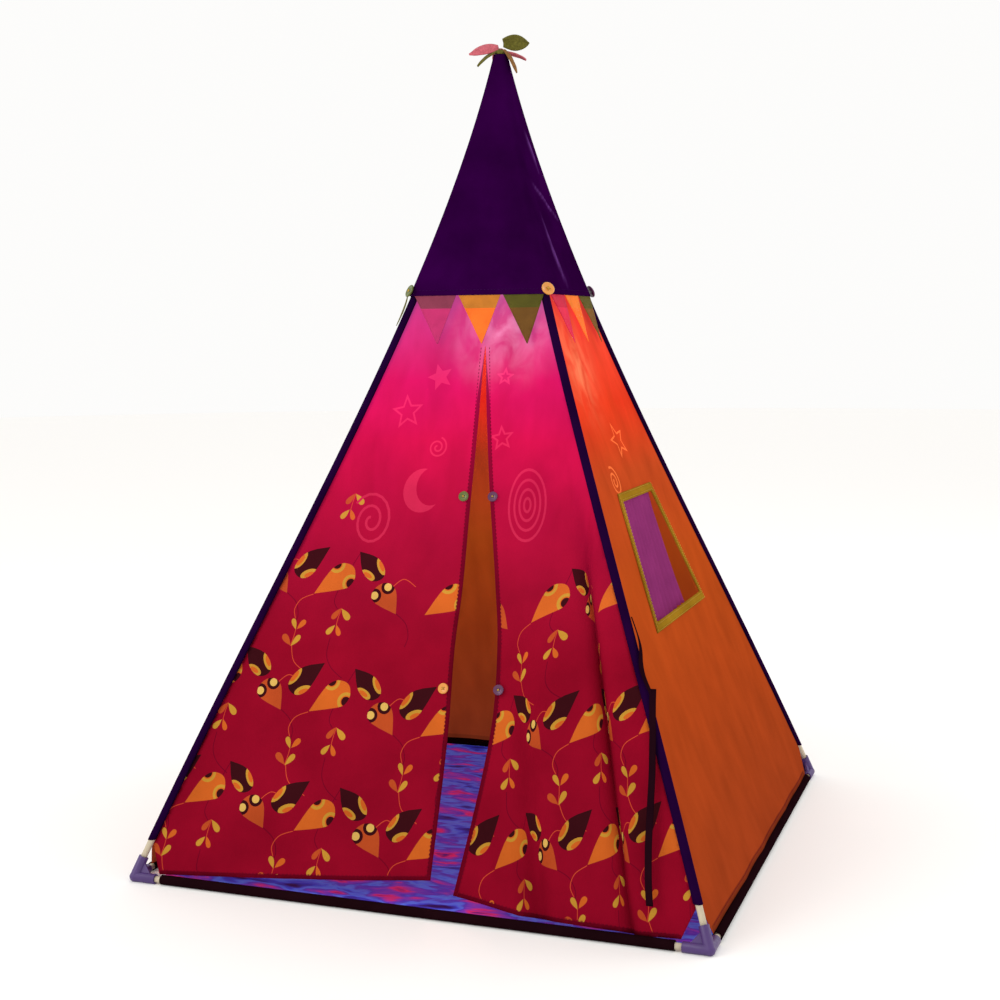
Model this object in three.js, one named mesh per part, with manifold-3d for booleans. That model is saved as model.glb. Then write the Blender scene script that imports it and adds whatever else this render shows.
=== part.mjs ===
// Children's play tent: a square pyramid of cloth on four tube legs, with a pointed cap over the top.
// Millimetres, +Z up. The origin is on the floor under the middle of the base. The door faces -Y,
// and the window is in the panel on the +X side.
import * as THREE from "three";
import { mergeVertices } from "three/addons/utils/BufferGeometryUtils.js";
import Module from "manifold-3d";

const wasm = await Module();
wasm.setup();

// ---- Driving dimensions -------------------------------------------------------------------------
// Half the spacing between neighbouring leg axes, as a polynomial in height (metres in, mm out).
const LEG_CURVE = [504.5, -362.1, -65.1, 32.9, 12.7];
const GAP = 0.3; // room between touching pieces
const TUBE_RADIUS = 5.5; // leg and base tubes
const SPIGOT_RADIUS = 3.6; // necked end of a lower leg
const SPIGOT_LENGTH = 32;
const LEG_FOOT_Z = 20; // lower end of a leg, inside its corner connector
const LEG_JOINT_Z = 700; // where a leg's two tubes meet
const LEG_TOP_Z = 1392; // upper end of a leg, inside the top hub
const SLEEVE_RADIUS = 7.25; // cloth sleeves over the tubes
const SLEEVE_WALL = 0.9;
const SLEEVE_FOOT_Z = 73;
const SLEEVE_TOP_Z = 1322;
const CLOTH = 1.2; // thickness that stands for one layer of cloth with its seams

const BASE_AXIS_Z = 8; // height of the base tubes' axes
const CORNER_RADIUS = 8.5; // outside of a connector's sockets
const CORNER_REACH = 42; // length of a connector's base sockets
const LEG_SOCKET_Z = 41; // top of a connector's leg socket
const BASE_TUBE_START = 16; // base tube's end, from the corner
const BASE_SLEEVE_START = 53; // sleeve's end, from the corner

const PANEL_FOOT_Z = 16;
const PANEL_CORNER = { across: 42, up: 46 }; // corner that is cut away over each connector
const PANEL_TOP_Z = 1040; // the panels end under the cap
const DOOR_TOP_Z = 912;
const FOLD_FOOT_X = 400; // where a door flap's fold line meets its hem
const FOLD_GAP = 0.6;

const WINDOW = { top: 638, bottom: 438, halfTop: 101, halfBottom: 168, centre: -11 };
const BINDING_WIDTH = 14;

const CAP_HEM_Z = 1000;
const CAP_TOP_Z = 1434;
const CAP_OFFSET = 10.1; // cap's outer face, out from the leg axes
const CAP_CLOTH = 0.95;
const CAP_CHAMFER = 4.4;

const PENNANT_WIDTH = 82;
const PENNANT_PITCH = 84;
const PENNANT_TIP_SHIFT = 15;
const PENNANT_DROP = 88;

const CAP_BUTTON_RADIUS = 12;
const DOOR_BUTTON_RADIUS = 9;
const BUTTON_THICKNESS = 4;

const LAMP_RADIUS = 36;
const LAMP_TOP_Z = 1086;
const LAMP_HEIGHT = 34;
const LAMP_WALL = 2;
const LAMP_EYE_Z = 1314; // axis that the lamp's strap swings about
const PUSH_TRAVEL = 2.5;

// ---- Materials ----------------------------------------------------------------------------------
const material = (color, roughness, metalness = 0) =>
  new THREE.MeshStandardMaterial({ color, roughness, metalness });
const MATERIALS = {
  tube: () => material(0xb8a184, 0.45),
  connector: () => material(0x5b3a86, 0.4),
  sleeve: () => material(0x24062e, 0.85),
  baseSleeve: () => material(0x1c0a12, 0.8),
  doorCloth: () => material(0xa01030, 0.75),
  orangeCloth: () => material(0xb04418, 0.75),
  backCloth: () => material(0xa8431a, 0.75),
  capCloth: () => material(0x2c0434, 0.7),
  binding: () => material(0xa8802a, 0.7),
  sheer: () => material(0x8a3a70, 0.6),
  mat: () => material(0x3a2f8c, 0.4),
  strap: () => material(0x2a1012, 0.8),
  lampWhite: () => material(0xf0ece4, 0.4),
  lampLens: () => material(0xfff1d8, 0.3),
  circuit: () => material(0x2a6b45, 0.5),
};
const BUNTING_COLOURS = [0x8d4460, 0x9a4668, 0x8d4460, 0x9a4668];

// ---- Profile of the frame -----------------------------------------------------------------------
const legInset = (z) => LEG_CURVE.reduce((sum, factor, power) => sum + factor * (z / 1000) ** power, 0);
const legSlope = (z) => legInset(z + 0.5) - legInset(z - 0.5);
const BASE_HALF = legInset(BASE_AXIS_Z);

/** A point of the front face: `u` across, `z` up, `offset` out of the cloth. */
function facePoint(u, z, offset) {
  const slope = legSlope(z);
  const length = Math.hypot(1, slope);
  return new THREE.Vector3(u, -legInset(z) - offset / length, z - (offset * slope) / length);
}

/** The axis of the front left leg between two heights. */
class LegAxis extends THREE.Curve {
  constructor(low, high) {
    super();
    this.low = low;
    this.high = high;
  }

  getPoint(t, target = new THREE.Vector3()) {
    const z = this.low + (this.high - this.low) * t;
    return target.set(-legInset(z), -legInset(z), z);
  }
}

const legDirection = (z) => new THREE.Vector3(-legSlope(z), -legSlope(z), 1).normalize();
const legPoint = (z) => new LegAxis(z, z + 1).getPoint(0);

// ---- Geometry helpers ---------------------------------------------------------------------------
function toSolid(geometry) {
  const bare = geometry.clone();
  bare.deleteAttribute("normal");
  bare.deleteAttribute("uv");
  const merged = mergeVertices(bare, 1e-4);
  return new wasm.Manifold(
    new wasm.Mesh({
      numProp: 3,
      vertProperties: new Float32Array(merged.attributes.position.array),
      triVerts: new Uint32Array(merged.index.array),
    }),
  );
}

function toGeometry(solid) {
  const mesh = solid.getMesh();
  const geometry = new THREE.BufferGeometry();
  geometry.setAttribute("position", new THREE.BufferAttribute(new Float32Array(mesh.vertProperties), 3));
  geometry.setIndex(new THREE.BufferAttribute(new Uint32Array(mesh.triVerts), 1));
  geometry.computeVertexNormals();
  return geometry;
}

const union = (solids) => solids.reduce((whole, solid) => whole.add(solid));

function ringOutline(radius, sides, Kind = THREE.Shape) {
  const points = Array.from({ length: sides }, (_, i) => {
    const angle = (2 * Math.PI * i) / sides;
    return new THREE.Vector2(radius * Math.cos(angle), radius * Math.sin(angle));
  });
  return new Kind(points);
}

/** A tube or rod along a curve. */
function sweep(path, radius, { sides = 10, steps = 16, bore = 0 } = {}) {
  const outline = ringOutline(radius, sides);
  if (bore) outline.holes.push(ringOutline(bore, sides, THREE.Path));
  return new THREE.ExtrudeGeometry(outline, { steps, extrudePath: path, bevelEnabled: false });
}

/** A round rod from one point towards a direction. */
function rod(from, direction, length, radius, sides = 16) {
  const geometry = new THREE.CylinderGeometry(radius, radius, length, sides);
  geometry.translate(0, length / 2, 0);
  const turn = new THREE.Quaternion().setFromUnitVectors(new THREE.Vector3(0, 1, 0), direction);
  geometry.applyQuaternion(turn);
  geometry.translate(from.x, from.y, from.z);
  return geometry;
}

/** A closed slab on the front face: its edges are functions of height. */
function faceSheet({ left, right, low, high, inner, outer, rows = 12, columns = 4 }) {
  const positions = [];
  const grid = columns + 1;
  const layer = grid * (rows + 1);
  for (const offset of [outer, inner]) {
    for (let row = 0; row <= rows; row++) {
      const z = low + ((high - low) * row) / rows;
      for (let column = 0; column <= columns; column++) {
        const u = left(z) + ((right(z) - left(z)) * column) / columns;
        positions.push(...facePoint(u, z, offset).toArray());
      }
    }
  }
  const indices = [];
  const quad = (a, b, c, d) => indices.push(a, b, c, a, c, d);
  for (let row = 0; row < rows; row++) {
    for (let column = 0; column < columns; column++) {
      const a = row * grid + column;
      quad(a, a + 1, a + grid + 1, a + grid);
      quad(layer + a, layer + a + grid, layer + a + grid + 1, layer + a + 1);
    }
  }
  const rim = [];
  for (let column = 0; column < columns; column++) rim.push(column);
  for (let row = 0; row < rows; row++) rim.push(row * grid + columns);
  for (let column = columns; column > 0; column--) rim.push(rows * grid + column);
  for (let row = rows; row > 0; row--) rim.push(row * grid);
  rim.forEach((a, i) => {
    const b = rim[(i + 1) % rim.length];
    quad(a, layer + a, layer + b, b);
  });
  const geometry = new THREE.BufferGeometry();
  geometry.setAttribute("position", new THREE.Float32BufferAttribute(positions, 3));
  geometry.setIndex(indices);
  geometry.computeVertexNormals();
  return geometry;
}

/** A prism through the front face, whose outline is drawn in (across, height). */
function facePrism(shape) {
  const depth = 700;
  const geometry = new THREE.ExtrudeGeometry(shape, { depth, bevelEnabled: false, curveSegments: 6 });
  geometry.rotateX(Math.PI / 2);
  return toSolid(geometry);
}

const vectors = (points) => points.map(([u, z]) => new THREE.Vector2(u, z));
const polygon = (points) => new THREE.Shape(vectors(points));

// ---- Scene graph --------------------------------------------------------------------------------
const tent = new THREE.Group();
const SIDES = ["front", "right", "back", "left"];
const CORNERS = ["front_left", "front_right", "back_right", "back_left"];
const quarters = SIDES.map((_, i) => {
  const group = new THREE.Group();
  group.rotation.z = (i * Math.PI) / 2;
  tent.add(group);
  return group;
});

function addPiece(parent, name, geometry, finish) {
  const mesh = new THREE.Mesh(geometry, finish);
  mesh.name = name;
  parent.add(mesh);
  return mesh;
}

// ---- Frame --------------------------------------------------------------------------------------
function cornerConnector() {
  const centre = new THREE.Vector3(-BASE_HALF, -BASE_HALF, BASE_AXIS_Z);
  const alongX = new THREE.Vector3(1, 0, 0);
  const alongY = new THREE.Vector3(0, 1, 0);
  const up = legDirection(LEG_FOOT_Z);
  const upReach = (LEG_SOCKET_Z - BASE_AXIS_Z) / up.z;
  const knuckle = new THREE.SphereGeometry(CORNER_RADIUS + 0.5, 16, 12);
  knuckle.translate(centre.x, centre.y, centre.z);
  const arms = [
    rod(centre, alongX, CORNER_REACH, CORNER_RADIUS),
    rod(centre, alongY, CORNER_REACH, CORNER_RADIUS),
    rod(centre, up, upReach, CORNER_RADIUS),
    knuckle,
  ];
  const web = (first, second, firstReach, secondReach) => {
    const thickness = 2;
    const side = new THREE.Vector3().crossVectors(first, second).normalize().multiplyScalar(thickness);
    const a = centre.clone();
    const b = centre.clone().addScaledVector(first, firstReach);
    const c = centre.clone().addScaledVector(second, secondReach);
    const corners = [a, b, c].flatMap((p) => [p.clone().add(side), p.clone().sub(side)]);
    const wedge = new THREE.BufferGeometry().setFromPoints(corners);
    wedge.setIndex([0, 2, 4, 1, 5, 3, 0, 1, 3, 0, 3, 2, 2, 3, 5, 2, 5, 4, 4, 5, 1, 4, 1, 0]);
    return wedge;
  };
  const webReach = CORNER_REACH - 6;
  const webs = [
    web(alongX, up, webReach, upReach - 4),
    web(up, alongY, upReach - 4, webReach),
    web(alongY, alongX, webReach, webReach),
  ];
  const bore = TUBE_RADIUS + GAP;
  const bores = [
    rod(centre.clone().addScaledVector(alongX, BASE_TUBE_START - GAP), alongX, CORNER_REACH, bore),
    rod(centre.clone().addScaledVector(alongY, BASE_TUBE_START - GAP), alongY, CORNER_REACH, bore),
    rod(legPoint(LEG_FOOT_Z - GAP), up, CORNER_REACH, bore),
  ];
  const floorCut = new THREE.BoxGeometry(200, 200, 40);
  floorCut.translate(centre.x, centre.y, -20);
  return toGeometry(
    union([...arms, ...webs].map(toSolid)).subtract(union([...bores, floorCut].map(toSolid))),
  );
}

function lowerLeg() {
  const tube = toSolid(sweep(new LegAxis(LEG_FOOT_Z, LEG_JOINT_Z), TUBE_RADIUS, { steps: 11 }));
  const spigotRoot = legPoint(LEG_JOINT_Z - 2);
  return toGeometry(
    tube.add(toSolid(rod(spigotRoot, legDirection(LEG_JOINT_Z), SPIGOT_LENGTH, SPIGOT_RADIUS, 10))),
  );
}

function upperLeg() {
  const tube = toSolid(sweep(new LegAxis(LEG_JOINT_Z + GAP, LEG_TOP_Z), TUBE_RADIUS, { steps: 11 }));
  const mouth = legPoint(LEG_JOINT_Z - 2);
  const bore = rod(mouth, legDirection(LEG_JOINT_Z), SPIGOT_LENGTH + 3, SPIGOT_RADIUS + 0.5, 10);
  return toGeometry(tube.subtract(toSolid(bore)));
}

function baseTube(radius, start, bore = 0) {
  const length = 2 * (BASE_HALF - start);
  const outline = ringOutline(radius, 12);
  if (bore) outline.holes.push(ringOutline(bore, 12, THREE.Path));
  const geometry = new THREE.ExtrudeGeometry(outline, { depth: length, bevelEnabled: false });
  geometry.rotateY(Math.PI / 2);
  geometry.translate(-length / 2, -BASE_HALF, BASE_AXIS_Z);
  return geometry;
}

function topHub() {
  const socketRadius = 7.2;
  const low = 1336;
  const high = 1404;
  const coreTop = 1428;
  const sockets = [];
  const bores = [];
  for (let i = 0; i < 4; i++) {
    const turn = (i * Math.PI) / 2;
    const along = legDirection((low + LEG_TOP_Z) / 2);
    const socket = rod(legPoint(low), along, high - low, socketRadius, 12);
    const boreLength = (LEG_TOP_Z - low + 6) / along.z;
    const bore = rod(legPoint(low - 4), along, boreLength, TUBE_RADIUS + 0.6, 12);
    sockets.push(toSolid(socket.rotateZ(turn)));
    bores.push(toSolid(bore.rotateZ(turn)));
  }
  const core = rod(new THREE.Vector3(0, 0, low + 8), new THREE.Vector3(0, 0, 1), coreTop - low - 8, 7, 12);
  const webs = [0, 1].map((i) => {
    const outline = polygon([[-28, low + 8], [28, low + 8], [12, high], [-12, high]]);
    const web = new THREE.ExtrudeGeometry(outline, { depth: 4, bevelEnabled: false });
    web.translate(0, 0, -2);
    web.rotateX(Math.PI / 2);
    web.rotateZ(Math.PI / 4 + (i * Math.PI) / 2);
    return toSolid(web);
  });
  const eyeRadius = 10.5;
  const eyeWire = 1.6;
  const eye = new THREE.TorusGeometry(eyeRadius, eyeWire, 8, 20);
  eye.rotateX(Math.PI / 2);
  eye.translate(0, 0, LAMP_EYE_Z + eyeRadius);
  const neckFoot = new THREE.Vector3(0, 0, LAMP_EYE_Z + 2 * eyeRadius);
  const neck = rod(neckFoot, new THREE.Vector3(0, 0, 1), low + 10 - neckFoot.z, 2.6, 8);
  const body = union([...sockets, toSolid(core), ...webs]).subtract(union(bores));
  return toGeometry(union([body, toSolid(eye), toSolid(neck)]));
}

// ---- Cloth --------------------------------------------------------------------------------------
const seamHalf = (z) => legInset(z) - SLEEVE_RADIUS - 1.4;
const panelSheet = (inner = -CLOTH / 2, outer = CLOTH / 2, low = PANEL_FOOT_Z, high = PANEL_TOP_Z) =>
  toSolid(faceSheet({ left: (z) => -seamHalf(z), right: seamHalf, low, high, inner, outer }));

/** One side's cloth, with its lower corners cut away over the connectors. */
function panelCloth() {
  const { across, up } = PANEL_CORNER;
  const edge = legInset(PANEL_FOOT_Z);
  const corner = (side) => facePrism(polygon([
    [side * (edge - across), PANEL_FOOT_Z - 2],
    [side * (edge + 20), PANEL_FOOT_Z - 2],
    [side * (edge + 20), PANEL_FOOT_Z + up],
    [side * (seamHalf(PANEL_FOOT_Z + up) - 2), PANEL_FOOT_Z + up],
    [side * (edge - across), PANEL_FOOT_Z + 3],
  ]));
  return panelSheet().subtract(corner(1)).subtract(corner(-1));
}

const trapezoid = ({ top, bottom, halfTop, halfBottom, centre }, grow = 0) =>
  polygon([
    [centre - halfBottom - grow * 1.12, bottom - grow],
    [centre + halfBottom + grow * 1.12, bottom - grow],
    [centre + halfTop + grow * 0.88, top + grow],
    [centre - halfTop - grow * 0.88, top + grow],
  ]);

// Door edges, seen from the front: the slit's two sides, and the hems that rise towards it.
const SLIT_LEFT = [[18.5, DOOR_TOP_Z - 4], [25, 783], [29, 654], [34, 510], [34, 409], [42, 266], [43, 58]];
const SLIT_RIGHT = [[23, DOOR_TOP_Z - 4], [41, 783], [64, 654], [92, 515], [109, 413], [114, 269], [82, 39]];
const FOLD_TOP = { left: 13, right: 27 };
const HEM_LEFT_Z = 21;
const HEM_RIGHT = [200, 22];

/** Where a door flap folds: a straight line from the top of the slit down to the hem. */
function foldAcross(side, z) {
  const foot = side === "left" ? -FOLD_FOOT_X : FOLD_FOOT_X;
  const share = (DOOR_TOP_Z - z) / (DOOR_TOP_Z - PANEL_FOOT_Z);
  return FOLD_TOP[side] + (foot - FOLD_TOP[side]) * share;
}

function doorFlapOutline(side) {
  const shape = new THREE.Shape();
  const shift = side === "left" ? FOLD_GAP : -FOLD_GAP;
  const edge = side === "left" ? SLIT_LEFT : SLIT_RIGHT;
  shape.moveTo(foldAcross(side, edge[0][1]) + shift, edge[0][1]);
  shape.lineTo(...edge[0]);
  shape.splineThru(vectors(edge.slice(1)));
  if (side === "left") {
    shape.lineTo(foldAcross(side, HEM_LEFT_Z) + shift, HEM_LEFT_Z);
  } else {
    shape.lineTo(...HEM_RIGHT);
    shape.lineTo(foldAcross(side, PANEL_FOOT_Z) + shift, PANEL_FOOT_Z);
  }
  return shape;
}

function frontPanel() {
  const below = PANEL_FOOT_Z - 4;
  const doorway = polygon([
    [FOLD_TOP.left, DOOR_TOP_Z],
    [FOLD_TOP.right, DOOR_TOP_Z],
    [foldAcross("right", below), below],
    [foldAcross("left", below), below],
  ]);
  return toGeometry(panelCloth().subtract(facePrism(doorway)));
}

const doorFlap = (side) =>
  toGeometry(panelSheet().intersect(facePrism(doorFlapOutline(side))));

const windowPanel = () => toGeometry(panelCloth().subtract(facePrism(trapezoid(WINDOW))));

function windowBinding() {
  const low = WINDOW.bottom - 2 * BINDING_WIDTH;
  const high = WINDOW.top + 2 * BINDING_WIDTH;
  const sheet = panelSheet(CLOTH / 2 + GAP, CLOTH / 2 + GAP + 1.2, low, high);
  const frame = sheet.intersect(facePrism(trapezoid(WINDOW, BINDING_WIDTH)));
  return toGeometry(frame.subtract(facePrism(trapezoid(WINDOW))));
}

/** A sheer curtain that hangs inside the window from its top edge, a little off the panel. */
const CURTAIN_TOP_Z = WINDOW.top + 10;
const CURTAIN_LEAN = 0.067;
const curtainHingeOffset = -3.2;
function windowCurtain() {
  const low = WINDOW.bottom - 4;
  const sheet = faceSheet({
    left: (z) => WINDOW.centre - WINDOW.halfTop - 6 - (CURTAIN_TOP_Z - z) * 0.29,
    right: (z) => WINDOW.centre + WINDOW.halfTop + 4 + (CURTAIN_TOP_Z - z) * 0.06,
    low,
    high: CURTAIN_TOP_Z,
    inner: curtainHingeOffset - 0.5,
    outer: curtainHingeOffset + 0.5,
    rows: 6,
    columns: 3,
  });
  const hinge = facePoint(0, CURTAIN_TOP_Z, curtainHingeOffset);
  sheet.translate(-hinge.x, -hinge.y, -hinge.z);
  sheet.rotateX(CURTAIN_LEAN);
  sheet.translate(hinge.x, hinge.y, hinge.z);
  return sheet;
}

/** The cap: four cloth faces over the top of the frame, open below, with chamfered edges. */
function cap() {
  const rows = 12;
  const ring = (z, offset) => {
    const half = legInset(z) + offset;
    const cut = CAP_CHAMFER + (offset - CAP_OFFSET) * 0.6;
    const corner = [[-half + cut, -half], [half - cut, -half]];
    return [0, 1, 2, 3].flatMap((i) => {
      const angle = (i * Math.PI) / 2;
      return corner.map(([x, y]) =>
        new THREE.Vector3(x, y, z).applyAxisAngle(new THREE.Vector3(0, 0, 1), angle));
    });
  };
  const profile = [];
  for (let row = 0; row <= rows; row++) {
    profile.push(ring(CAP_HEM_Z + ((CAP_TOP_Z - CAP_HEM_Z) * row) / rows, CAP_OFFSET));
  }
  for (let row = rows; row >= 0; row--) {
    profile.push(ring(CAP_HEM_Z + ((CAP_TOP_Z - CAP_HEM_Z) * row) / rows, CAP_OFFSET - CAP_CLOTH));
  }
  const sides = profile[0].length;
  const indices = [];
  profile.forEach((_, i) => {
    const next = (i + 1) % profile.length;
    for (let k = 0; k < sides; k++) {
      const a = i * sides + k;
      const b = i * sides + ((k + 1) % sides);
      const c = next * sides + ((k + 1) % sides);
      const d = next * sides + k;
      indices.push(a, b, c, a, c, d);
    }
  });
  const geometry = new THREE.BufferGeometry().setFromPoints(profile.flat());
  geometry.setIndex(indices);
  geometry.computeVertexNormals();
  return geometry;
}

/** A tape under the cap's hem with three pennants sewn to it. */
function bunting() {
  const tapeTop = CAP_HEM_Z + 14;
  const sheet = faceSheet({
    left: (z) => -legInset(z) - 3,
    right: (z) => legInset(z) + 3,
    low: CAP_HEM_Z - PENNANT_DROP - 2,
    high: tapeTop,
    inner: SLEEVE_RADIUS + 0.45,
    outer: SLEEVE_RADIUS + 1.05,
    rows: 3,
  });
  const tapeHalf = legInset(tapeTop) + 2;
  const hemHalf = legInset(CAP_HEM_Z) + 2;
  const outline = new THREE.Shape();
  outline.moveTo(-tapeHalf, tapeTop + 4);
  outline.lineTo(-hemHalf, CAP_HEM_Z);
  for (const place of [-1, 0, 1]) {
    const middle = 3 + place * PENNANT_PITCH;
    const tip = middle + PENNANT_TIP_SHIFT;
    outline.lineTo(Math.max(middle - PENNANT_WIDTH / 2, 1 - hemHalf), CAP_HEM_Z);
    outline.lineTo(tip - 1.5, CAP_HEM_Z - PENNANT_DROP);
    outline.lineTo(tip + 1.5, CAP_HEM_Z - PENNANT_DROP);
    outline.lineTo(Math.min(middle + PENNANT_WIDTH / 2, hemHalf - 1), CAP_HEM_Z);
  }
  outline.lineTo(hemHalf, CAP_HEM_Z);
  outline.lineTo(tapeHalf, tapeTop + 4);
  return toGeometry(toSolid(sheet).intersect(facePrism(outline)));
}

function floorMat() {
  const half = BASE_HALF - SLEEVE_RADIUS - 1;
  const clip = 58;
  const outline = [];
  for (let i = 0; i < 4; i++) {
    const angle = (i * Math.PI) / 2;
    for (const x of [-half + clip, half - clip]) {
      outline.push(new THREE.Vector2(x, -half).rotateAround(new THREE.Vector2(), angle));
    }
  }
  const geometry = new THREE.ExtrudeGeometry(new THREE.Shape(outline), { depth: 1.2, bevelEnabled: false });
  geometry.translate(0, 0, 0.8);
  return geometry;
}

/** A tie strap that hangs from its leg's sleeve: the right one over the front face, the left inside. */
const STRAP = { topZ: 366, footZ: 55, width: 13 };
function tieStrap(topX, footX, offset) {
  const centre = (z) => topX + ((footX - topX) * (STRAP.topZ - z)) / (STRAP.topZ - STRAP.footZ);
  return faceSheet({
    left: (z) => centre(z) - STRAP.width / 2,
    right: (z) => centre(z) + STRAP.width / 2,
    low: STRAP.footZ,
    high: STRAP.topZ,
    inner: offset - 0.6,
    outer: offset + 0.6,
    rows: 8,
    columns: 1,
  });
}

// ---- Buttons and leaves -------------------------------------------------------------------------
/** A four-hole button around the Y axis, with a dished face towards -Y. */
function button(radius) {
  const thickness = BUTTON_THICKNESS;
  const profile = [
    [0, 0],
    [radius * 0.9, 0],
    [radius, thickness * 0.35],
    [radius, thickness * 0.75],
    [radius * 0.88, thickness],
    [radius * 0.7, thickness * 0.72],
    [0, thickness * 0.66],
  ];
  const disc = new THREE.LatheGeometry(profile.map(([r, y]) => new THREE.Vector2(r, y)), 16);
  const holes = [];
  for (let i = 0; i < 4; i++) {
    const hole = new THREE.CylinderGeometry(radius * 0.1, radius * 0.1, 3 * thickness, 5);
    const angle = Math.PI / 4 + (i * Math.PI) / 2;
    hole.translate(radius * 0.3 * Math.cos(angle), 0, radius * 0.3 * Math.sin(angle));
    holes.push(toSolid(hole));
  }
  return toGeometry(toSolid(disc).subtract(union(holes)));
}

function addCapButton(quarter, name, colour) {
  const z = CAP_HEM_Z + 3;
  const seat = CAP_OFFSET * Math.SQRT2 - CAP_CHAMFER / Math.SQRT2 + 0.6;
  const out = new THREE.Vector3(-1, -1, -2 * legSlope(z)).normalize();
  const piece = addPiece(quarter, name, button(CAP_BUTTON_RADIUS), material(colour, 0.35));
  piece.quaternion.setFromUnitVectors(new THREE.Vector3(0, 1, 0), out);
  piece.position.copy(legPoint(z)).addScaledVector(out, seat);
}

function addDoorButton(name, u, z, colour) {
  const piece = addPiece(tent, name, button(DOOR_BUTTON_RADIUS), material(colour, 0.35));
  const seat = facePoint(u, z, CLOTH / 2 + 0.5);
  const out = facePoint(u, z, 100).sub(facePoint(u, z, 0)).normalize();
  piece.quaternion.setFromUnitVectors(new THREE.Vector3(0, 1, 0), out);
  piece.position.copy(seat);
}

/** A felt leaf that points along +X from the origin, arched a little. */
function leaf(length, width) {
  const outline = new THREE.Shape();
  outline.moveTo(0, -width * 0.16);
  outline.quadraticCurveTo(length * 0.35, -width * 0.62, length * 0.8, -width * 0.22);
  outline.quadraticCurveTo(length * 1.06, 0, length * 0.8, width * 0.22);
  outline.quadraticCurveTo(length * 0.35, width * 0.62, 0, width * 0.16);
  return new THREE.ExtrudeGeometry(outline, { depth: 1.2, bevelEnabled: false, curveSegments: 5 });
}

const LEAVES = [
  { name: "apex_leaf_rose", azimuth: 200, tilt: 14, roll: -48, length: 50, width: 30, z: 1447, colour: 0xb05566 },
  { name: "apex_leaf_olive", azimuth: -2, tilt: 6, roll: -66, length: 46, width: 34, z: 1455, colour: 0x5f5a1e },
  { name: "apex_leaf_mauve", azimuth: 34, tilt: 16, roll: 0, length: 40, width: 20, z: 1438, colour: 0x7d4450 },
  { name: "apex_leaf_moss", azimuth: 208, tilt: 38, roll: -12, length: 42, width: 22, z: 1438, colour: 0x4a451c },
  { name: "apex_leaf_tan", azimuth: -8, tilt: 60, roll: 0, length: 44, width: 22, z: 1436, colour: 0x6f5630 },
  { name: "apex_leaf_pink", azimuth: 118, tilt: 30, roll: 0, length: 46, width: 28, z: 1442, colour: 0xa85468 },
];

function addLeaf({ name, azimuth, tilt, roll, length, width, z, colour }) {
  const clear = 13; // starts this far from the middle
  const piece = addPiece(new THREE.Group(), name, leaf(length, width), material(colour, 0.9));
  piece.geometry.rotateX(THREE.MathUtils.degToRad(roll));
  piece.geometry.rotateY(THREE.MathUtils.degToRad(tilt));
  piece.geometry.translate(clear, 0, z);
  piece.geometry.rotateZ(THREE.MathUtils.degToRad(azimuth));
  tent.add(piece);
}

// ---- Lamp ---------------------------------------------------------------------------------------
function lampStrap() {
  const ringOuter = 3.9;
  const ringInner = 2.6;
  const half = 0.6;
  const foot = LAMP_TOP_Z + 2;
  const outline = new THREE.Shape();
  const start = Math.asin(half / ringOuter);
  outline.moveTo(half, foot - LAMP_EYE_Z);
  outline.lineTo(half, -ringOuter * Math.cos(start));
  outline.absarc(0, 0, ringOuter, -Math.PI / 2 + start, (3 * Math.PI) / 2 - start, false);
  outline.lineTo(-half, foot - LAMP_EYE_Z);
  const hole = new THREE.Path();
  hole.absarc(0, 0, ringInner, 0, 2 * Math.PI, true);
  outline.holes.push(hole);
  const width = 6;
  const geometry = new THREE.ExtrudeGeometry(outline, { depth: width, bevelEnabled: false, curveSegments: 8 });
  geometry.translate(0, 0, -width / 2);
  geometry.rotateX(Math.PI / 2);
  geometry.rotateZ(Math.PI / 2);
  geometry.translate(0, 0, LAMP_EYE_Z);
  return geometry;
}

/** A turned solid around Z, from a profile that runs down its outside. */
const lathe = (profile, segments = 28) => {
  const points = profile.map(([r, z]) => new THREE.Vector2(r, z)).reverse();
  const geometry = new THREE.LatheGeometry(points, segments);
  geometry.rotateX(Math.PI / 2);
  return toSolid(geometry);
};

function lampHousing() {
  const top = LAMP_TOP_Z;
  const foot = LAMP_TOP_Z - LAMP_HEIGHT;
  const inner = LAMP_RADIUS - LAMP_WALL;
  const shell = lathe([
    [0, top],
    [LAMP_RADIUS - 10, top],
    [LAMP_RADIUS - 3, top - 4],
    [LAMP_RADIUS, top - 12],
    [LAMP_RADIUS, foot],
    [inner - 3, foot],
    [inner - 3, foot + 3],
    [inner, foot + 3],
    [inner, top - 12],
    [LAMP_RADIUS - 11, top - 4 - LAMP_WALL],
    [0, top - 4 - LAMP_WALL],
  ]);
  const boss = new THREE.BoxGeometry(16, 9, 14);
  boss.translate(0, 0, top + 5);
  const slot = new THREE.BoxGeometry(10, 2, 20);
  slot.translate(0, 0, top + 1.6 + 10);
  return toGeometry(shell.add(toSolid(boss)).subtract(toSolid(slot)));
}

function lampLens() {
  const seat = LAMP_TOP_Z - LAMP_HEIGHT + 3.3;
  const rim = LAMP_RADIUS - LAMP_WALL - 0.4;
  const throat = LAMP_RADIUS - LAMP_WALL - 3.4;
  return toGeometry(lathe([
    [0, seat + 2.2],
    [rim, seat + 2.2],
    [rim, seat],
    [throat, seat],
    [throat, seat - 5],
    [throat * 0.8, seat - 11],
    [throat * 0.45, seat - 15],
    [0, seat - 16.5],
  ]));
}

function lampCircuit() {
  const z = LAMP_TOP_Z - LAMP_HEIGHT + 3.3 + 2.2 + PUSH_TRAVEL + 1;
  return toGeometry(lathe([[0, z + 1.6], [LAMP_RADIUS - LAMP_WALL - 0.6, z + 1.6],
    [LAMP_RADIUS - LAMP_WALL - 0.6, z], [0, z]]));
}

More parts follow.
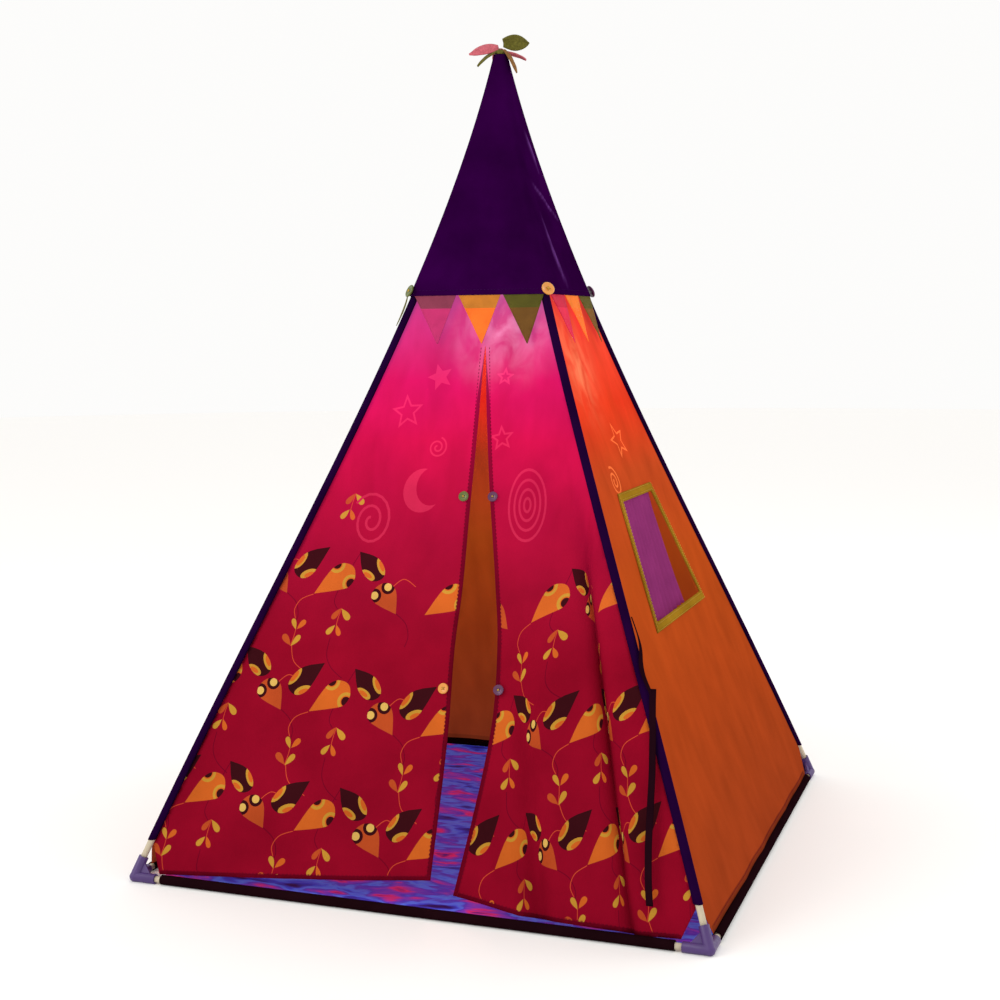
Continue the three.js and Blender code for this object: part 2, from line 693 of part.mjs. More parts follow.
// ---- Assembly -----------------------------------------------------------------------------------
const connector = cornerConnector();
CORNERS.forEach((corner, i) => {
  addPiece(quarters[i], `corner_connector_${corner}`, connector, MATERIALS.connector());
  addPiece(quarters[i], `leg_lower_${corner}`, lowerLeg(), MATERIALS.tube());
  addPiece(quarters[i], `leg_upper_${corner}`, upperLeg(), MATERIALS.tube());
  const sleevePath = new LegAxis(SLEEVE_FOOT_Z, SLEEVE_TOP_Z);
  const sleeve = sweep(sleevePath, SLEEVE_RADIUS, { sides: 8, steps: 16, bore: SLEEVE_RADIUS - SLEEVE_WALL });
  addPiece(quarters[i], `leg_sleeve_${corner}`, sleeve, MATERIALS.sleeve());
});

SIDES.forEach((side, i) => {
  addPiece(quarters[i], `base_tube_${side}`, baseTube(TUBE_RADIUS, BASE_TUBE_START), MATERIALS.tube());
  const bore = SLEEVE_RADIUS - SLEEVE_WALL;
  const sleeve = baseTube(SLEEVE_RADIUS, BASE_SLEEVE_START, bore);
  addPiece(quarters[i], `base_sleeve_${side}`, sleeve, MATERIALS.baseSleeve());
  addPiece(quarters[i], `bunting_${side}`, bunting(), material(BUNTING_COLOURS[i], 0.8));
});
addPiece(tent, "top_hub", topHub(), MATERIALS.connector());

const [front, right, back, left] = quarters;
addPiece(front, "front_panel", frontPanel(), MATERIALS.doorCloth());
addPiece(front, "door_flap_left", doorFlap("left"), MATERIALS.doorCloth());
addPiece(front, "door_flap_right", doorFlap("right"), MATERIALS.doorCloth());
addPiece(right, "right_panel", windowPanel(), MATERIALS.orangeCloth());
addPiece(right, "window_binding", windowBinding(), MATERIALS.binding());
addPiece(right, "window_curtain", windowCurtain(), MATERIALS.sheer());
addPiece(back, "back_panel", toGeometry(panelCloth()), MATERIALS.backCloth());
addPiece(left, "left_panel", toGeometry(panelCloth()), MATERIALS.orangeCloth());
addPiece(tent, "cap", cap(), MATERIALS.capCloth());
addPiece(tent, "floor_mat", floorMat(), MATERIALS.mat());
addPiece(tent, "tie_strap_right", tieStrap(380, 407, 9.6), MATERIALS.strap());
addPiece(tent, "tie_strap_left", tieStrap(-345, -350, -9.6), MATERIALS.strap());

addCapButton(front, "cap_button_green", 0x8f9a4e);
addCapButton(right, "cap_button_orange", 0xd08a3a);
addCapButton(back, "cap_button_purple", 0x2a1030);
addCapButton(left, "cap_button_rose", 0xb05566);
addDoorButton("door_button_green", 17, 654, 0x6f7a34);
addDoorButton("door_button_orange", 24, 346, 0xc07a2c);
addDoorButton("door_button_purple_upper", 70, 655, 0x4a1f5a);
addDoorButton("door_button_purple_lower", 121, 350, 0x4a1f5a);
LEAVES.forEach(addLeaf);

addPiece(tent, "lamp_strap", lampStrap(), MATERIALS.strap());
addPiece(tent, "lamp_housing", lampHousing(), MATERIALS.lampWhite());
addPiece(tent, "lamp_lens", lampLens(), MATERIALS.lampLens());
addPiece(tent, "lamp_circuit", lampCircuit(), MATERIALS.circuit());

export default tent;
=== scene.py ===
"""The looks of the play tent: its cloth, print, stitching and finishes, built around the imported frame."""

import math

import bpy
import numpy as np
from mathutils import Matrix, Vector
from mathutils.geometry import delaunay_2d_cdt
from mathutils.kdtree import KDTree
from mathutils.noise import noise


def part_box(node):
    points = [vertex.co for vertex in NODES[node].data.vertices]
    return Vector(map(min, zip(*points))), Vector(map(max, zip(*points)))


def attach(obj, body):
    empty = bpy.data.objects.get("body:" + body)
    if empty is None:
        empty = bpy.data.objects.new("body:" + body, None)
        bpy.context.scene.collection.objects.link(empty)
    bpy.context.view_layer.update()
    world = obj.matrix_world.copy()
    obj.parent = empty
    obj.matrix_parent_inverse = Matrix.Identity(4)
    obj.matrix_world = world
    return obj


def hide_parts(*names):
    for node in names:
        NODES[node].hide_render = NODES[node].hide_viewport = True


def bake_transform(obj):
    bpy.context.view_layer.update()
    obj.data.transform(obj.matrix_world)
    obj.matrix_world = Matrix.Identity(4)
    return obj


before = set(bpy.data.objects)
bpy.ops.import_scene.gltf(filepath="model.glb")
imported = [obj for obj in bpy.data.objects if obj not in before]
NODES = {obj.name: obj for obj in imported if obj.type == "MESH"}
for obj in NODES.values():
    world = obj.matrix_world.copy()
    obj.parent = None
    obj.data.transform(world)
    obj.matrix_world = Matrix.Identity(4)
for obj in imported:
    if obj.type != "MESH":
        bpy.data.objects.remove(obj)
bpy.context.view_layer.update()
SIDES = ("front", "right", "back", "left")
CORNERS = ("front_left", "front_right", "back_right", "back_left")

# ---- Camera ---------------------------------------------------------------------------------------
CAMERA_PLACE = (0.970, -2.716, 0.935)
CAMERA_YAW, CAMERA_PITCH, CAMERA_ROLL = -19.81, 6.20, -0.47  # degrees
CAMERA_LENS = 55.78


def add_camera():
    yaw, pitch, roll = (math.radians(a) for a in (CAMERA_YAW, CAMERA_PITCH, CAMERA_ROLL))
    forward = Vector((math.sin(yaw) * math.cos(pitch), math.cos(yaw) * math.cos(pitch), -math.sin(pitch)))
    level = Vector((math.cos(yaw), -math.sin(yaw), 0))
    upright = level.cross(forward)
    right = math.cos(roll) * level + math.sin(roll) * upright
    up = math.cos(roll) * upright - math.sin(roll) * level
    data = bpy.data.cameras.new("camera")
    data.lens = CAMERA_LENS
    camera = bpy.data.objects.new("camera", data)
    turn = Matrix((right, up, -forward)).transposed().to_4x4()
    camera.matrix_world = Matrix.Translation(CAMERA_PLACE) @ turn
    bpy.context.scene.collection.objects.link(camera)
    bpy.context.scene.camera = camera


# ---- The frame's own shape ------------------------------------------------------------------------
def node_points(*names):
    return np.array([v.co for name in names for v in NODES[name].data.vertices])


def leg_curve():
    """Half the spacing between neighbouring leg axes, as a polynomial in height."""
    points = node_points("leg_lower_front_left", "leg_upper_front_left")
    return np.polyfit(points[:, 2], -(points[:, 0] + points[:, 1]) / 2, 4)


LEG_CURVE = leg_curve()
LEG_SLOPE = np.polyder(LEG_CURVE)
SLANT = 1.07  # length along the cloth for each unit of height
SLEEVE_RADIUS = 0.00725
BASE_AXIS_Z = 0.008
CAP_HEM_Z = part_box("cap")[0].z
CAP_TOP_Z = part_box("cap")[1].z
CAP_OFFSET = 0.0101  # the cap's face, out from the leg axes
PANEL_TOP_Z = 1.04
DOOR_TOP_Z = 0.912


def inset(z):
    """Half the spacing between neighbouring leg axes at a height."""
    return np.polyval(LEG_CURVE, z)


def face_point(across, z, offset=0.0):
    """Points of the front face, pushed out of the cloth by offset."""
    across, z, offset = np.broadcast_arrays(*(np.asarray(v, float) for v in (across, z, offset)))
    slope = np.polyval(LEG_SLOPE, z)
    length = np.sqrt(1 + slope**2)
    return np.stack([across, -inset(z) - offset / length, z - offset * slope / length], axis=-1)


def turned(points, quarter):
    """Points of the front face moved to the face that is so many quarter turns on."""
    c, s = (1, 0, -1, 0)[quarter % 4], (0, 1, 0, -1)[quarter % 4]
    return points @ np.array([[c, s, 0], [-s, c, 0], [0, 0, 1]], float)


def smoothstep(t):
    t = np.clip(t, 0, 1)
    return t * t * (3 - 2 * t)


def waviness(x, y, seed):
    """Smooth noise between -1 and 1 at each point of two arrays."""
    x, y = np.broadcast_arrays(np.asarray(x, float), np.asarray(y, float))
    values = [noise(Vector((a, b, 7.31 * seed))) for a, b in zip(x.ravel(), y.ravel())]
    return np.array(values).reshape(x.shape)


# ---- Outlines -------------------------------------------------------------------------------------
def rgb(red, green, blue):
    """A colour in the usual 0 to 255 steps, as linear light."""
    shares = [step / 255 for step in (red, green, blue)]
    return tuple(c / 12.92 if c < 0.04045 else ((c + 0.055) / 1.055) ** 2.4 for c in shares)


def direction(angle):
    """The cosine and sine of an angle in degrees."""
    turn = math.radians(angle)
    return math.cos(turn), math.sin(turn)


def spun(loop, heading):
    """A loop turned about the origin, so that its first axis points along heading."""
    c, s = heading
    return loop @ np.array([[c, s], [-s, c]])


def dense(points, step, closed=True):
    """A closed loop, or an open line, with points added so that none are further apart than step."""
    points = np.array(points, float)
    filled = []
    for a, b in zip(points, np.roll(points, -1, axis=0) if closed else points[1:]):
        count = max(1, math.ceil(np.linalg.norm(b - a) / step))
        filled += [a + (b - a) * i / count for i in range(count)]
    return np.array(filled if closed else [*filled, points[-1]])


def inside(points, loop):
    """Which points lie inside a closed loop."""
    x, y = points[:, :1], points[:, 1:]
    x0, y0 = loop[:, 0], loop[:, 1]
    x1, y1 = np.roll(x0, -1), np.roll(y0, -1)
    crossed = (y0 > y) != (y1 > y)
    at = x0 + (y - y0) * (x1 - x0) / np.where(y1 == y0, 1, y1 - y0)
    return (crossed & (x < at)).sum(axis=1) % 2 == 1


def ellipse(x, y, wide, high, angle=0.0, steps=18):
    c, s = direction(angle)
    t = np.linspace(0, 2 * math.pi, steps, endpoint=False)
    a, b = wide * np.cos(t), high * np.sin(t)
    return np.stack([x + a * c - b * s, y + a * s + b * c], 1)


def soften(points, passes=2):
    """Rounds every corner of a closed outline but the first."""
    loop = [np.array(p, float) for p in points]
    for _ in range(passes):
        chain = [*loop, loop[0]]
        cut = [loop[0]]
        for a, b, c in zip(chain, chain[1:], chain[2:]):
            cut += [b + (a - b) / 4, b + (c - b) / 4]
        loop = cut
    return np.array(loop)


def curve_through(points, per=8):
    """A smooth open curve through a few points."""
    p = np.array([points[0], *points, points[-1]], float)
    t = np.linspace(0, 1, per, endpoint=False)[:, None]
    parts = []
    for a, b, c, d in zip(p, p[1:], p[2:], p[3:]):
        parts.append(0.5 * (2 * b + (c - a) * t + (2 * a - 5 * b + 4 * c - d) * t**2
                            + (3 * b - a - 3 * c + d) * t**3))
    return np.concatenate([*parts, p[-1:]])


def ribbon(points, width):
    """The outline of a line of some width."""
    points = np.array(points, float)
    along = np.gradient(points, axis=0)
    side = np.stack([-along[:, 1], along[:, 0]], 1) / np.linalg.norm(along, axis=1)[:, None]
    return np.concatenate([points + side * width / 2, (points - side * width / 2)[::-1]])


def star(x, y, radius, angle=0.0, waist=0.45):
    t = np.radians(angle + 90 + 36 * np.arange(10))
    r = np.where(np.arange(10) % 2, radius * waist, radius)
    return np.stack([x + r * np.cos(t), y + r * np.sin(t)], 1)


def spiral(x, y, radius, turns, lean=1.0):
    t = np.linspace(0.12, 1, 40)
    angle = 2 * math.pi * turns * t
    return np.stack([x + radius * t * np.cos(angle), y + lean * radius * t * np.sin(angle)], 1)


# ---- Meshes ---------------------------------------------------------------------------------------
def new_piece(name, points, faces, look):
    """A smooth mesh, which keeps where its points rest for its material to read."""
    mesh = bpy.data.meshes.new(name)
    mesh.from_pydata(np.asarray(points).tolist(), [], [[int(i) for i in face] for face in faces])
    mesh.polygons.foreach_set("use_smooth", [True] * len(mesh.polygons))
    mesh.update()
    piece = bpy.data.objects.new(name, mesh)
    bpy.context.scene.collection.objects.link(piece)
    note(piece, "rest", points)
    mesh.materials.append(look)
    return piece


def note(piece, name, values):
    """Keeps a vector at each point for the material to read."""
    attribute = piece.data.attributes.new(name, "FLOAT_VECTOR", "POINT")
    attribute.data.foreach_set("vector", np.asarray(values, np.float32).ravel())


def paint(piece, tones):
    """Keeps a colour and a glow for each face."""
    attribute = piece.data.attributes.new("print", "FLOAT_COLOR", "CORNER")
    sizes = [len(p.vertices) for p in piece.data.polygons]
    attribute.data.foreach_set("color", np.repeat(np.asarray(tones, np.float32), sizes, axis=0).ravel())


def add_trim(piece, body="root"):
    """Puts a piece on a body."""
    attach(piece, body)
    return piece


def thicken(piece, thickness, offset=-1.0):
    solid = piece.modifiers.new("thickness", "SOLIDIFY")
    solid.thickness = thickness
    solid.offset = offset
    return piece


def honeycomb(low, high, spacing):
    """Evenly spread points over a rectangle."""
    rows = np.arange(low[1], high[1], spacing * 0.866)
    return np.array([(x + (i % 2) * spacing / 2, y) for i, y in enumerate(rows)
                     for x in np.arange(low[0], high[0], spacing)])


def drape(name, outline, place, look, ground, prints=(), holes=(), spacing=0.009, thickness=0.0009):
    """A sheet cut flat in (across, height). Its print is cut into its mesh, and place() puts it in space."""
    bounds = [np.array(loop, float) for loop in (outline, *holes)]
    loops = [dense(loop, spacing) for loop in bounds] + [dense(shape, spacing) for shape, _, _ in prints]
    rim = np.concatenate(loops)
    edges = []
    for loop in loops:
        start, count = len(edges), len(loop)
        edges += [(start + i, start + (i + 1) % count) for i in range(count)]
    near = KDTree(len(rim))
    for i, point in enumerate(rim):
        near.insert((*point, 0), i)
    near.balance()
    fill = honeycomb(bounds[0].min(0), bounds[0].max(0), spacing)
    fill = fill[inside(fill, bounds[0])]
    fill = [p for p in fill if near.find((*p, 0))[2] > spacing * 0.45]
    flat, _, faces, *_ = delaunay_2d_cdt([Vector(p) for p in [*rim, *fill]], edges, [], 0, 1e-6, False)
    flat, faces = np.array(flat), np.array(faces)
    centres = flat[faces].mean(axis=1)
    keep = inside(centres, bounds[0])
    for hole in bounds[1:]:
        keep &= ~inside(centres, hole)
    faces, centres = faces[keep], centres[keep]
    a, b, c = (flat[faces[:, i]] for i in range(3))
    clockwise = (b - a)[:, 0] * (c - a)[:, 1] < (b - a)[:, 1] * (c - a)[:, 0]
    faces[clockwise] = faces[clockwise][:, ::-1]
    used, faces = np.unique(faces, return_inverse=True)
    flat, faces = flat[used], faces.reshape(-1, 3)
    tones = np.tile(np.array(ground, float), (len(faces), 1))
    for shape, tone, clip in prints:
        shape = np.asarray(shape, float)
        close = np.nonzero(((centres >= shape.min(0)) & (centres <= shape.max(0))).all(axis=1))[0]
        close = close[inside(centres[close], shape)] if len(close) else close
        if clip is not None and len(close):
            close = close[inside(centres[close], clip)]
        tones[close] = tone
    piece = new_piece(name, place(flat[:, 0], flat[:, 1]), faces, look)
    note(piece, "flat", np.stack([flat[:, 0], flat[:, 1] * SLANT, np.zeros(len(flat))], 1))
    paint(piece, tones)
    return thicken(piece, thickness)


def grid(name, points, look, closed=False):
    """A sheet from rows and columns of points; a closed one joins its last column to its first."""
    rows, columns, _ = points.shape
    faces = []
    for r in range(rows - 1):
        for c in range(columns if closed else columns - 1):
            d = (c + 1) % columns
            faces.append((r * columns + c, r * columns + d, (r + 1) * columns + d, (r + 1) * columns + c))
    return new_piece(name, points.reshape(-1, 3), faces, look)


# One stitch: five rings of six points, given as shares of its length and width, closed at both ends.
BEAD_SIDES = 6
BEAD = ((-0.5, 0.15), (-0.38, 0.8), (0, 1), (0.38, 0.8), (0.5, 0.15))


def bead_faces(start):
    faces = []
    for ring in range(len(BEAD) - 1):
        for k in range(BEAD_SIDES):
            a = start + ring * BEAD_SIDES + k
            b = start + ring * BEAD_SIDES + (k + 1) % BEAD_SIDES
            faces.append((a, b, b + BEAD_SIDES, a + BEAD_SIDES))
    last = start + (len(BEAD) - 1) * BEAD_SIDES
    return [*faces, range(start, start + BEAD_SIDES)[::-1], range(last, last + BEAD_SIDES)]


def stitches(name, paths, look, pitch=0.0065, length=0.0042, width=0.0011):
    """Rows of sewn stitches, each a small bead that lies along a path."""
    turn = [2 * math.pi * k / BEAD_SIDES for k in range(BEAD_SIDES)]
    points, faces = [], []
    for path in paths:
        path = np.asarray(path, float)
        steps = np.linalg.norm(np.diff(path, axis=0), axis=1)
        run = np.concatenate([[0], np.cumsum(steps)])
        for at in np.arange(pitch / 2, run[-1] - length / 2, pitch):
            centre, ahead = (np.array([np.interp(reach, run, path[:, k]) for k in range(3)])
                             for reach in (at, at + 0.001))
            along = (ahead - centre) / max(np.linalg.norm(ahead - centre), 1e-9)
            side = np.cross(along, (0.31, 0.22, 0.92))
            side /= np.linalg.norm(side)
            other = np.cross(along, side)
            faces += bead_faces(len(points))
            outward = [(side * math.cos(t) + other * math.sin(t)) * width / 2 for t in turn]
            points += [centre + along * place * length + out * size
                       for place, size in BEAD for out in outward]
    return new_piece(name, points, faces, look)


# ---- Materials ------------------------------------------------------------------------------------
class Look:
    """A node material around one Principled shader."""

    def __init__(self, name, **sockets):
        self.material = bpy.data.materials.new(name)
        self.material.use_nodes = True
        self.tree = self.material.node_tree
        self.shader = self.tree.nodes["Principled BSDF"]
        self.done(**sockets)

    def feed(self, node, inputs):
        for key, value in inputs.items():
            if isinstance(value, bpy.types.NodeSocket):
                self.tree.links.new(value, node.inputs[key])
            else:
                node.inputs[key].default_value = value

    def add(self, kind, output, inputs, **properties):
        node = self.tree.nodes.new("ShaderNode" + kind)
        for key, value in properties.items():
            setattr(node, key, value)
        self.feed(node, inputs)
        return node.outputs[output]

    def attribute(self, name, output="Vector"):
        return self.add("Attribute", output, {}, attribute_name=name)

    def place(self):
        return self.add("TexCoord", "Object", {})

    def math(self, operation, a, b=0.0):
        return self.add("Math", 0, {0: a, 1: b}, operation=operation)

    def noise(self, vector, scale, detail=2.0, distortion=0.0):
        inputs = {"Vector": vector, "Scale": scale, "Detail": detail, "Distortion": distortion}
        return self.add("TexNoise", 0, inputs)

    def remap(self, value, low, high, from_low=0.3, from_high=0.7):
        return self.add("MapRange", 0, {"Value": value, "From Min": from_low, "From Max": from_high,
                                        "To Min": low, "To Max": high})

    def axis(self, vector, index):
        return self.add("SeparateXYZ", index, {0: vector})

    def stretch(self, vector, factors):
        return self.add("VectorMath", 0, {0: vector, 1: factors}, operation="MULTIPLY")

    def dim(self, colour, factor):
        return self.add("VectorMath", 0, {0: colour, "Scale": factor}, operation="SCALE")

    def ramp(self, factor, stops):
        colour = self.add("ValToRGB", 0, {"Fac": factor})
        elements = colour.node.color_ramp.elements
        while len(elements) < len(stops):
            elements.new(0.5)
        for element, (place, tone) in zip(elements, stops):
            element.position = place
            element.color = (*tone[:3], 1)
        return colour

    def weave(self, flat, pitch, depth, normal=None):
        """Crossing threads as a fine bump."""
        turn = 2 * math.pi / pitch
        warp, weft = (self.math("SINE", self.math("MULTIPLY", self.axis(flat, i), turn)) for i in (0, 1))
        inputs = {"Height": self.math("MULTIPLY", warp, weft), "Distance": depth, "Strength": 0.6}
        if normal:
            inputs["Normal"] = normal
        return self.add("Bump", 0, inputs)

    def ruffle(self, vector, scale, depth, detail=3.0, strength=0.5):
        inputs = {"Height": self.noise(vector, scale, detail), "Distance": depth, "Strength": strength}
        return self.add("Bump", 0, inputs)

    def wear(self, vector, tone, spread=0.14, scale=40.0):
        """A base colour that varies a little over the surface."""
        shade = self.remap(self.noise(vector, scale, 4.0), 1 - spread, 1 + spread)
        return self.dim(tone, shade)

    def done(self, **sockets):
        """Sets the shader's sockets, named with _ for each space."""
        self.feed(self.shader, {key.replace("_", " "): value for key, value in sockets.items()})
        return self.material


PRINTED_WEAVE = 0.0011  # the pitch of the printed cloth's threads


def printed_cloth(name, glow_stops, hot_place, hot_tone):
    """Thin printed cloth: it takes its print from the piece, and glows where the lamp is behind it."""
    look = Look(name, Emission_Strength=1.0, Specular_IOR_Level=0.0)
    flat, rest = look.attribute("flat"), look.attribute("rest")
    tint, glow = look.attribute("print", "Color"), look.attribute("print", "Alpha")
    height = look.axis(rest, 2)
    shade = look.remap(look.noise(flat, 9.0, 5.0), 0.84, 1.12)
    low_shade = look.remap(height, 0.82, 1.0, 0.0, 0.5)
    base = look.dim(tint, look.math("MULTIPLY", shade, low_shade))
    # Streaks and patches vary the painted glow of the lamp.
    streaks = look.noise(look.stretch(flat, (1.0, 0.34, 1.0)), 22.0, 3.0, 0.3)
    glow_streaks = look.remap(streaks, 0.84, 1.16)
    near = look.remap(look.add("VectorMath", "Value", {0: rest, 1: hot_place}, operation="DISTANCE"),
                      1.0, 0.0, 0.0, 0.14)
    flecks = look.noise(look.stretch(flat, (1.0, 0.7, 1.0)), 24.0, 4.0, 0.5)
    patches = look.remap(flecks, 0.15, 1.0, 0.36, 0.66)
    hot = look.dim(hot_tone, look.math("MULTIPLY", look.math("POWER", near, 1.6), patches))
    lamp = look.dim(look.ramp(look.remap(height, 0.0, 1.0, 0.0, 1.1), glow_stops), glow_streaks)
    light = look.dim(look.add("VectorMath", 0, {0: lamp, 1: hot}, operation="ADD"), glow)
    creases = look.ruffle(look.stretch(flat, (1.0, 0.4, 1.0)), 30.0, 0.003, 4.0, 0.35)
    return look.done(Base_Color=base, Emission_Color=light,
                     Roughness=look.remap(shade, 0.62, 0.85, 0.84, 1.12),
                     Normal=look.weave(flat, PRINTED_WEAVE, 0.00012, creases))


def plain_cloth(name, tone, pitch=0.0012, roughness=0.75, spread=0.18, **sockets):
    look = Look(name, Specular_IOR_Level=0.0, Roughness=roughness, **sockets)
    rest = look.attribute("rest")
    level = look.math("ADD", look.axis(rest, 0), look.axis(rest, 1))
    along = look.add("CombineXYZ", 0, {0: level, 1: look.axis(rest, 2)})
    return look.done(Base_Color=look.wear(rest, tone, spread, 14.0),
                     Normal=look.weave(along, pitch, 0.00015, look.ruffle(rest, 34.0, 0.002)))


def creased_cloth(name, tone, crease_highlight_tone):
    """Dark cloth whose sharp creases carry a paler line of painted highlight."""
    look = Look(name, Roughness=0.6, Specular_IOR_Level=0.0)
    rest = look.attribute("rest")
    # Noise breaks up the painted highlight along the creases.
    highlight_breaks = look.remap(look.noise(rest, 60.0), 0.3, 1.0)
    crease_highlight = look.math("MULTIPLY", look.attribute("crease", "Fac"), highlight_breaks)
    base = look.add("VectorMath", 0, {0: look.wear(rest, tone, 0.3, 9.0), 1: look.dim(crease_highlight_tone, crease_highlight)},
                    operation="ADD")
    folds = look.ruffle(rest, 22.0, 0.003)
    weave = look.weave(look.attribute("flat"), 0.0012, 0.00012, folds)
    return look.done(Base_Color=base, Normal=weave)


def painted_cloth(name, **sockets):
    """Plain cloth whose colour comes from the piece, with a painted glow, in that colour, of light shining
    through it.
    """
    look = Look(name, Roughness=0.72, Specular_IOR_Level=0.08, Emission_Strength=1.0, **sockets)
    rest, flat = look.attribute("rest"), look.attribute("flat")
    tint, glow = look.attribute("print", "Color"), look.attribute("print", "Alpha")
    shade = look.remap(look.noise(rest, 30.0, 4.0), 0.85, 1.15)
    return look.done(Base_Color=look.dim(tint, shade), Emission_Color=look.dim(tint, glow),
                     Normal=look.weave(flat, PRINTED_WEAVE, 0.00012))


def plastic(name, tone, roughness, grain=0.00006, coat=0.0):
    look = Look(name, Coat_Weight=coat, Coat_Roughness=0.15)
    place = look.place()
    return look.done(Base_Color=look.wear(place, tone, 0.07, 60.0),
                     Roughness=look.remap(look.noise(place, 220.0, 3.0), roughness - 0.07, roughness + 0.09),
                     Normal=look.ruffle(place, 900.0, grain, 2.0))


def felt(name, tone):
    look = Look(name, Roughness=0.95, Sheen_Weight=0.08, Specular_IOR_Level=0.1)
    place = look.place()
    return look.done(Base_Color=look.wear(place, tone, 0.25, 260.0),
                     Normal=look.ruffle(place, 900.0, 0.0005, 5.0))


def satin(name):
    """The mat: streaked shiny cloth in blue, violet and magenta, with a painted reflection of the lamp's
    light as a glow in its own colours.
    """
    look = Look(name, Roughness=0.35, Specular_IOR_Level=0.35, Emission_Strength=1.0)
    rest = look.attribute("rest")
    bands = look.noise(look.stretch(rest, (1.0, 2.4, 1.0)), 11.0, 3.0, 0.4)
    tone = look.ramp(bands, [(0.30, rgb(26, 10, 84)), (0.40, rgb(50, 62, 205)), (0.46, rgb(84, 120, 240)),
                             (0.52, rgb(74, 52, 190)), (0.58, rgb(130, 60, 190)), (0.64, rgb(214, 44, 120)),
                             (0.72, rgb(70, 24, 130))])
    return look.done(Base_Color=tone, Emission_Color=look.dim(tone, 0.35),
                     Normal=look.ruffle(look.stretch(rest, (0.8, 2.6, 1.0)), 16.0, 0.006, 4.0, 0.7))


def frosted(name, tone, strength):
    look = Look(name, Roughness=0.4, Emission_Strength=strength, Emission_Color=(*tone, 1))
    return look.done(Base_Color=look.wear(look.place(), tone, 0.05))


# How the lamp shines through the cloths: linear colours by height (as a share of 1.1 m).
LIT = {
    "front": [(0.0, (0, 0, 0)), (0.36, (0.0, 0, 0)), (0.455, (0.05, 0.001, 0.008)),
              (0.59, (0.21, 0.002, 0.030)), (0.68, (0.41, 0.003, 0.058)), (0.773, (0.46, 0.005, 0.110)),
              (0.89, (0.40, 0.04, 0.230)), (1.0, (0.36, 0.05, 0.24))],
    "plain": [(0.0, (0.13, 0.020, 0.007)), (0.27, (0.19, 0.028, 0.005)), (0.46, (0.24, 0.040, 0.005)),
              (0.62, (0.30, 0.034, 0.010)), (0.73, (0.58, 0.014, 0.010)), (0.82, (0.66, 0.032, 0.026)),
              (1.0, (0.60, 0.05, 0.04))],
}
BUTTON_TONES = {"green": rgb(88, 100, 30), "orange": rgb(222, 146, 58), "purple": rgb(84, 26, 72),
                "rose": rgb(186, 84, 104)}
FELT_TONES = {"rose": rgb(190, 94, 104), "olive": rgb(96, 92, 36), "tan": rgb(132, 92, 48)}
LOOKS = {
    "front": printed_cloth("front_cloth", LIT["front"], (0.055, -0.142, 0.945), (0.34, 0.30, 0.40)),
    "plain": printed_cloth("plain_cloth", LIT["plain"], (0.165, -0.08, 0.87), (0.30, 0.22, 0.10)),
    # The cap's second tone is the painted highlight along its creases.
    "cap": creased_cloth("cap_cloth", rgb(42, 1, 54), rgb(104, 60, 128)),
    "sleeve": plain_cloth("sleeve_cloth", rgb(30, 4, 46)),
    "base_sleeve": plain_cloth("base_sleeve_cloth", rgb(28, 9, 14)),
    "bunting": painted_cloth("bunting_cloth", Alpha=0.93),
    "binding": plain_cloth("binding_cloth", rgb(150, 112, 28), pitch=0.0016, spread=0.2),
    # The sheer curtain's faint emission is painted lamp light shining through it.
    "curtain": plain_cloth("sheer_cloth", rgb(118, 42, 92), roughness=0.5, spread=0.2, Alpha=0.86,
                           Emission_Color=(0.10, 0.012, 0.06, 1), Emission_Strength=1.0),
    "mat": satin("mat_cloth"),
    "strap": plain_cloth("strap_webbing", rgb(30, 9, 18), pitch=0.0018),
    "thread": plain_cloth("stitch_thread", rgb(120, 14, 40), pitch=0.0006),
    "dark_thread": plain_cloth("dark_thread", rgb(58, 16, 74), pitch=0.0006),
    "gold_thread": plain_cloth("gold_thread", rgb(196, 156, 66), pitch=0.0006),
    "tube": plastic("tube_plastic", rgb(196, 182, 156), 0.42),
    "connector": plastic("connector_plastic", rgb(72, 44, 106), 0.42, grain=0.0001),
    **{f"button_{name}": plastic(f"button_{name}", tone, 0.32, coat=0.2)
       for name, tone in BUTTON_TONES.items()},
    **{name: felt(f"felt_{name}", tone) for name, tone in FELT_TONES.items()},
    "lamp": plastic("lamp_plastic", rgb(238, 234, 226), 0.35),
    "lens": frosted("lamp_lens", (1.0, 0.80, 0.70), 3.0),
    "circuit": plastic("circuit_board", rgb(30, 104, 62), 0.5),
}

# Print tones: a base colour, and how much of the lamp's glow shows there.
RED = (*rgb(144, 11, 37), 1.0)
RED_FAINT = (*rgb(172, 36, 62), 1.08)
# The hem tones: real sewn hems whose darker colour and weaker glow are painted shade.
RED_HEM_SHADED = (*rgb(104, 6, 28), 0.4)
ORANGE = (*rgb(136, 50, 16), 1.0)
ORANGE_FAINT = (*rgb(202, 104, 52), 1.2)
ORANGE_HEM_SHADED = (*rgb(106, 38, 16), 0.8)
DARK = (*rgb(58, 16, 22), 0.05)
GOLD = (*rgb(196, 142, 50), 0.3)
PALE = (*rgb(220, 178, 92), 0.3)
AMBER = (*rgb(206, 98, 36), 0.3)
CORAL = (*rgb(186, 76, 36), 0.3)
VINE = (*rgb(206, 74, 44), 0.5)
VINE_DARK = (*rgb(108, 8, 34), 0.5)


# ---- Print ----------------------------------------------------------------------------------------
def kite(corners, eyes, shift):
    """A dark kite with eyes, each an ellipse of gold around a shifted one of amber."""
    body = soften(corners)
    parts = [(body, DARK, None)]
    for x, y, wide, high, angle in eyes:
        parts += [(ellipse(x, y, wide, high, angle), GOLD, body),
                  (ellipse(x + shift, y - shift, wide * 0.6, high * 0.5, angle), AMBER, body)]
    return parts


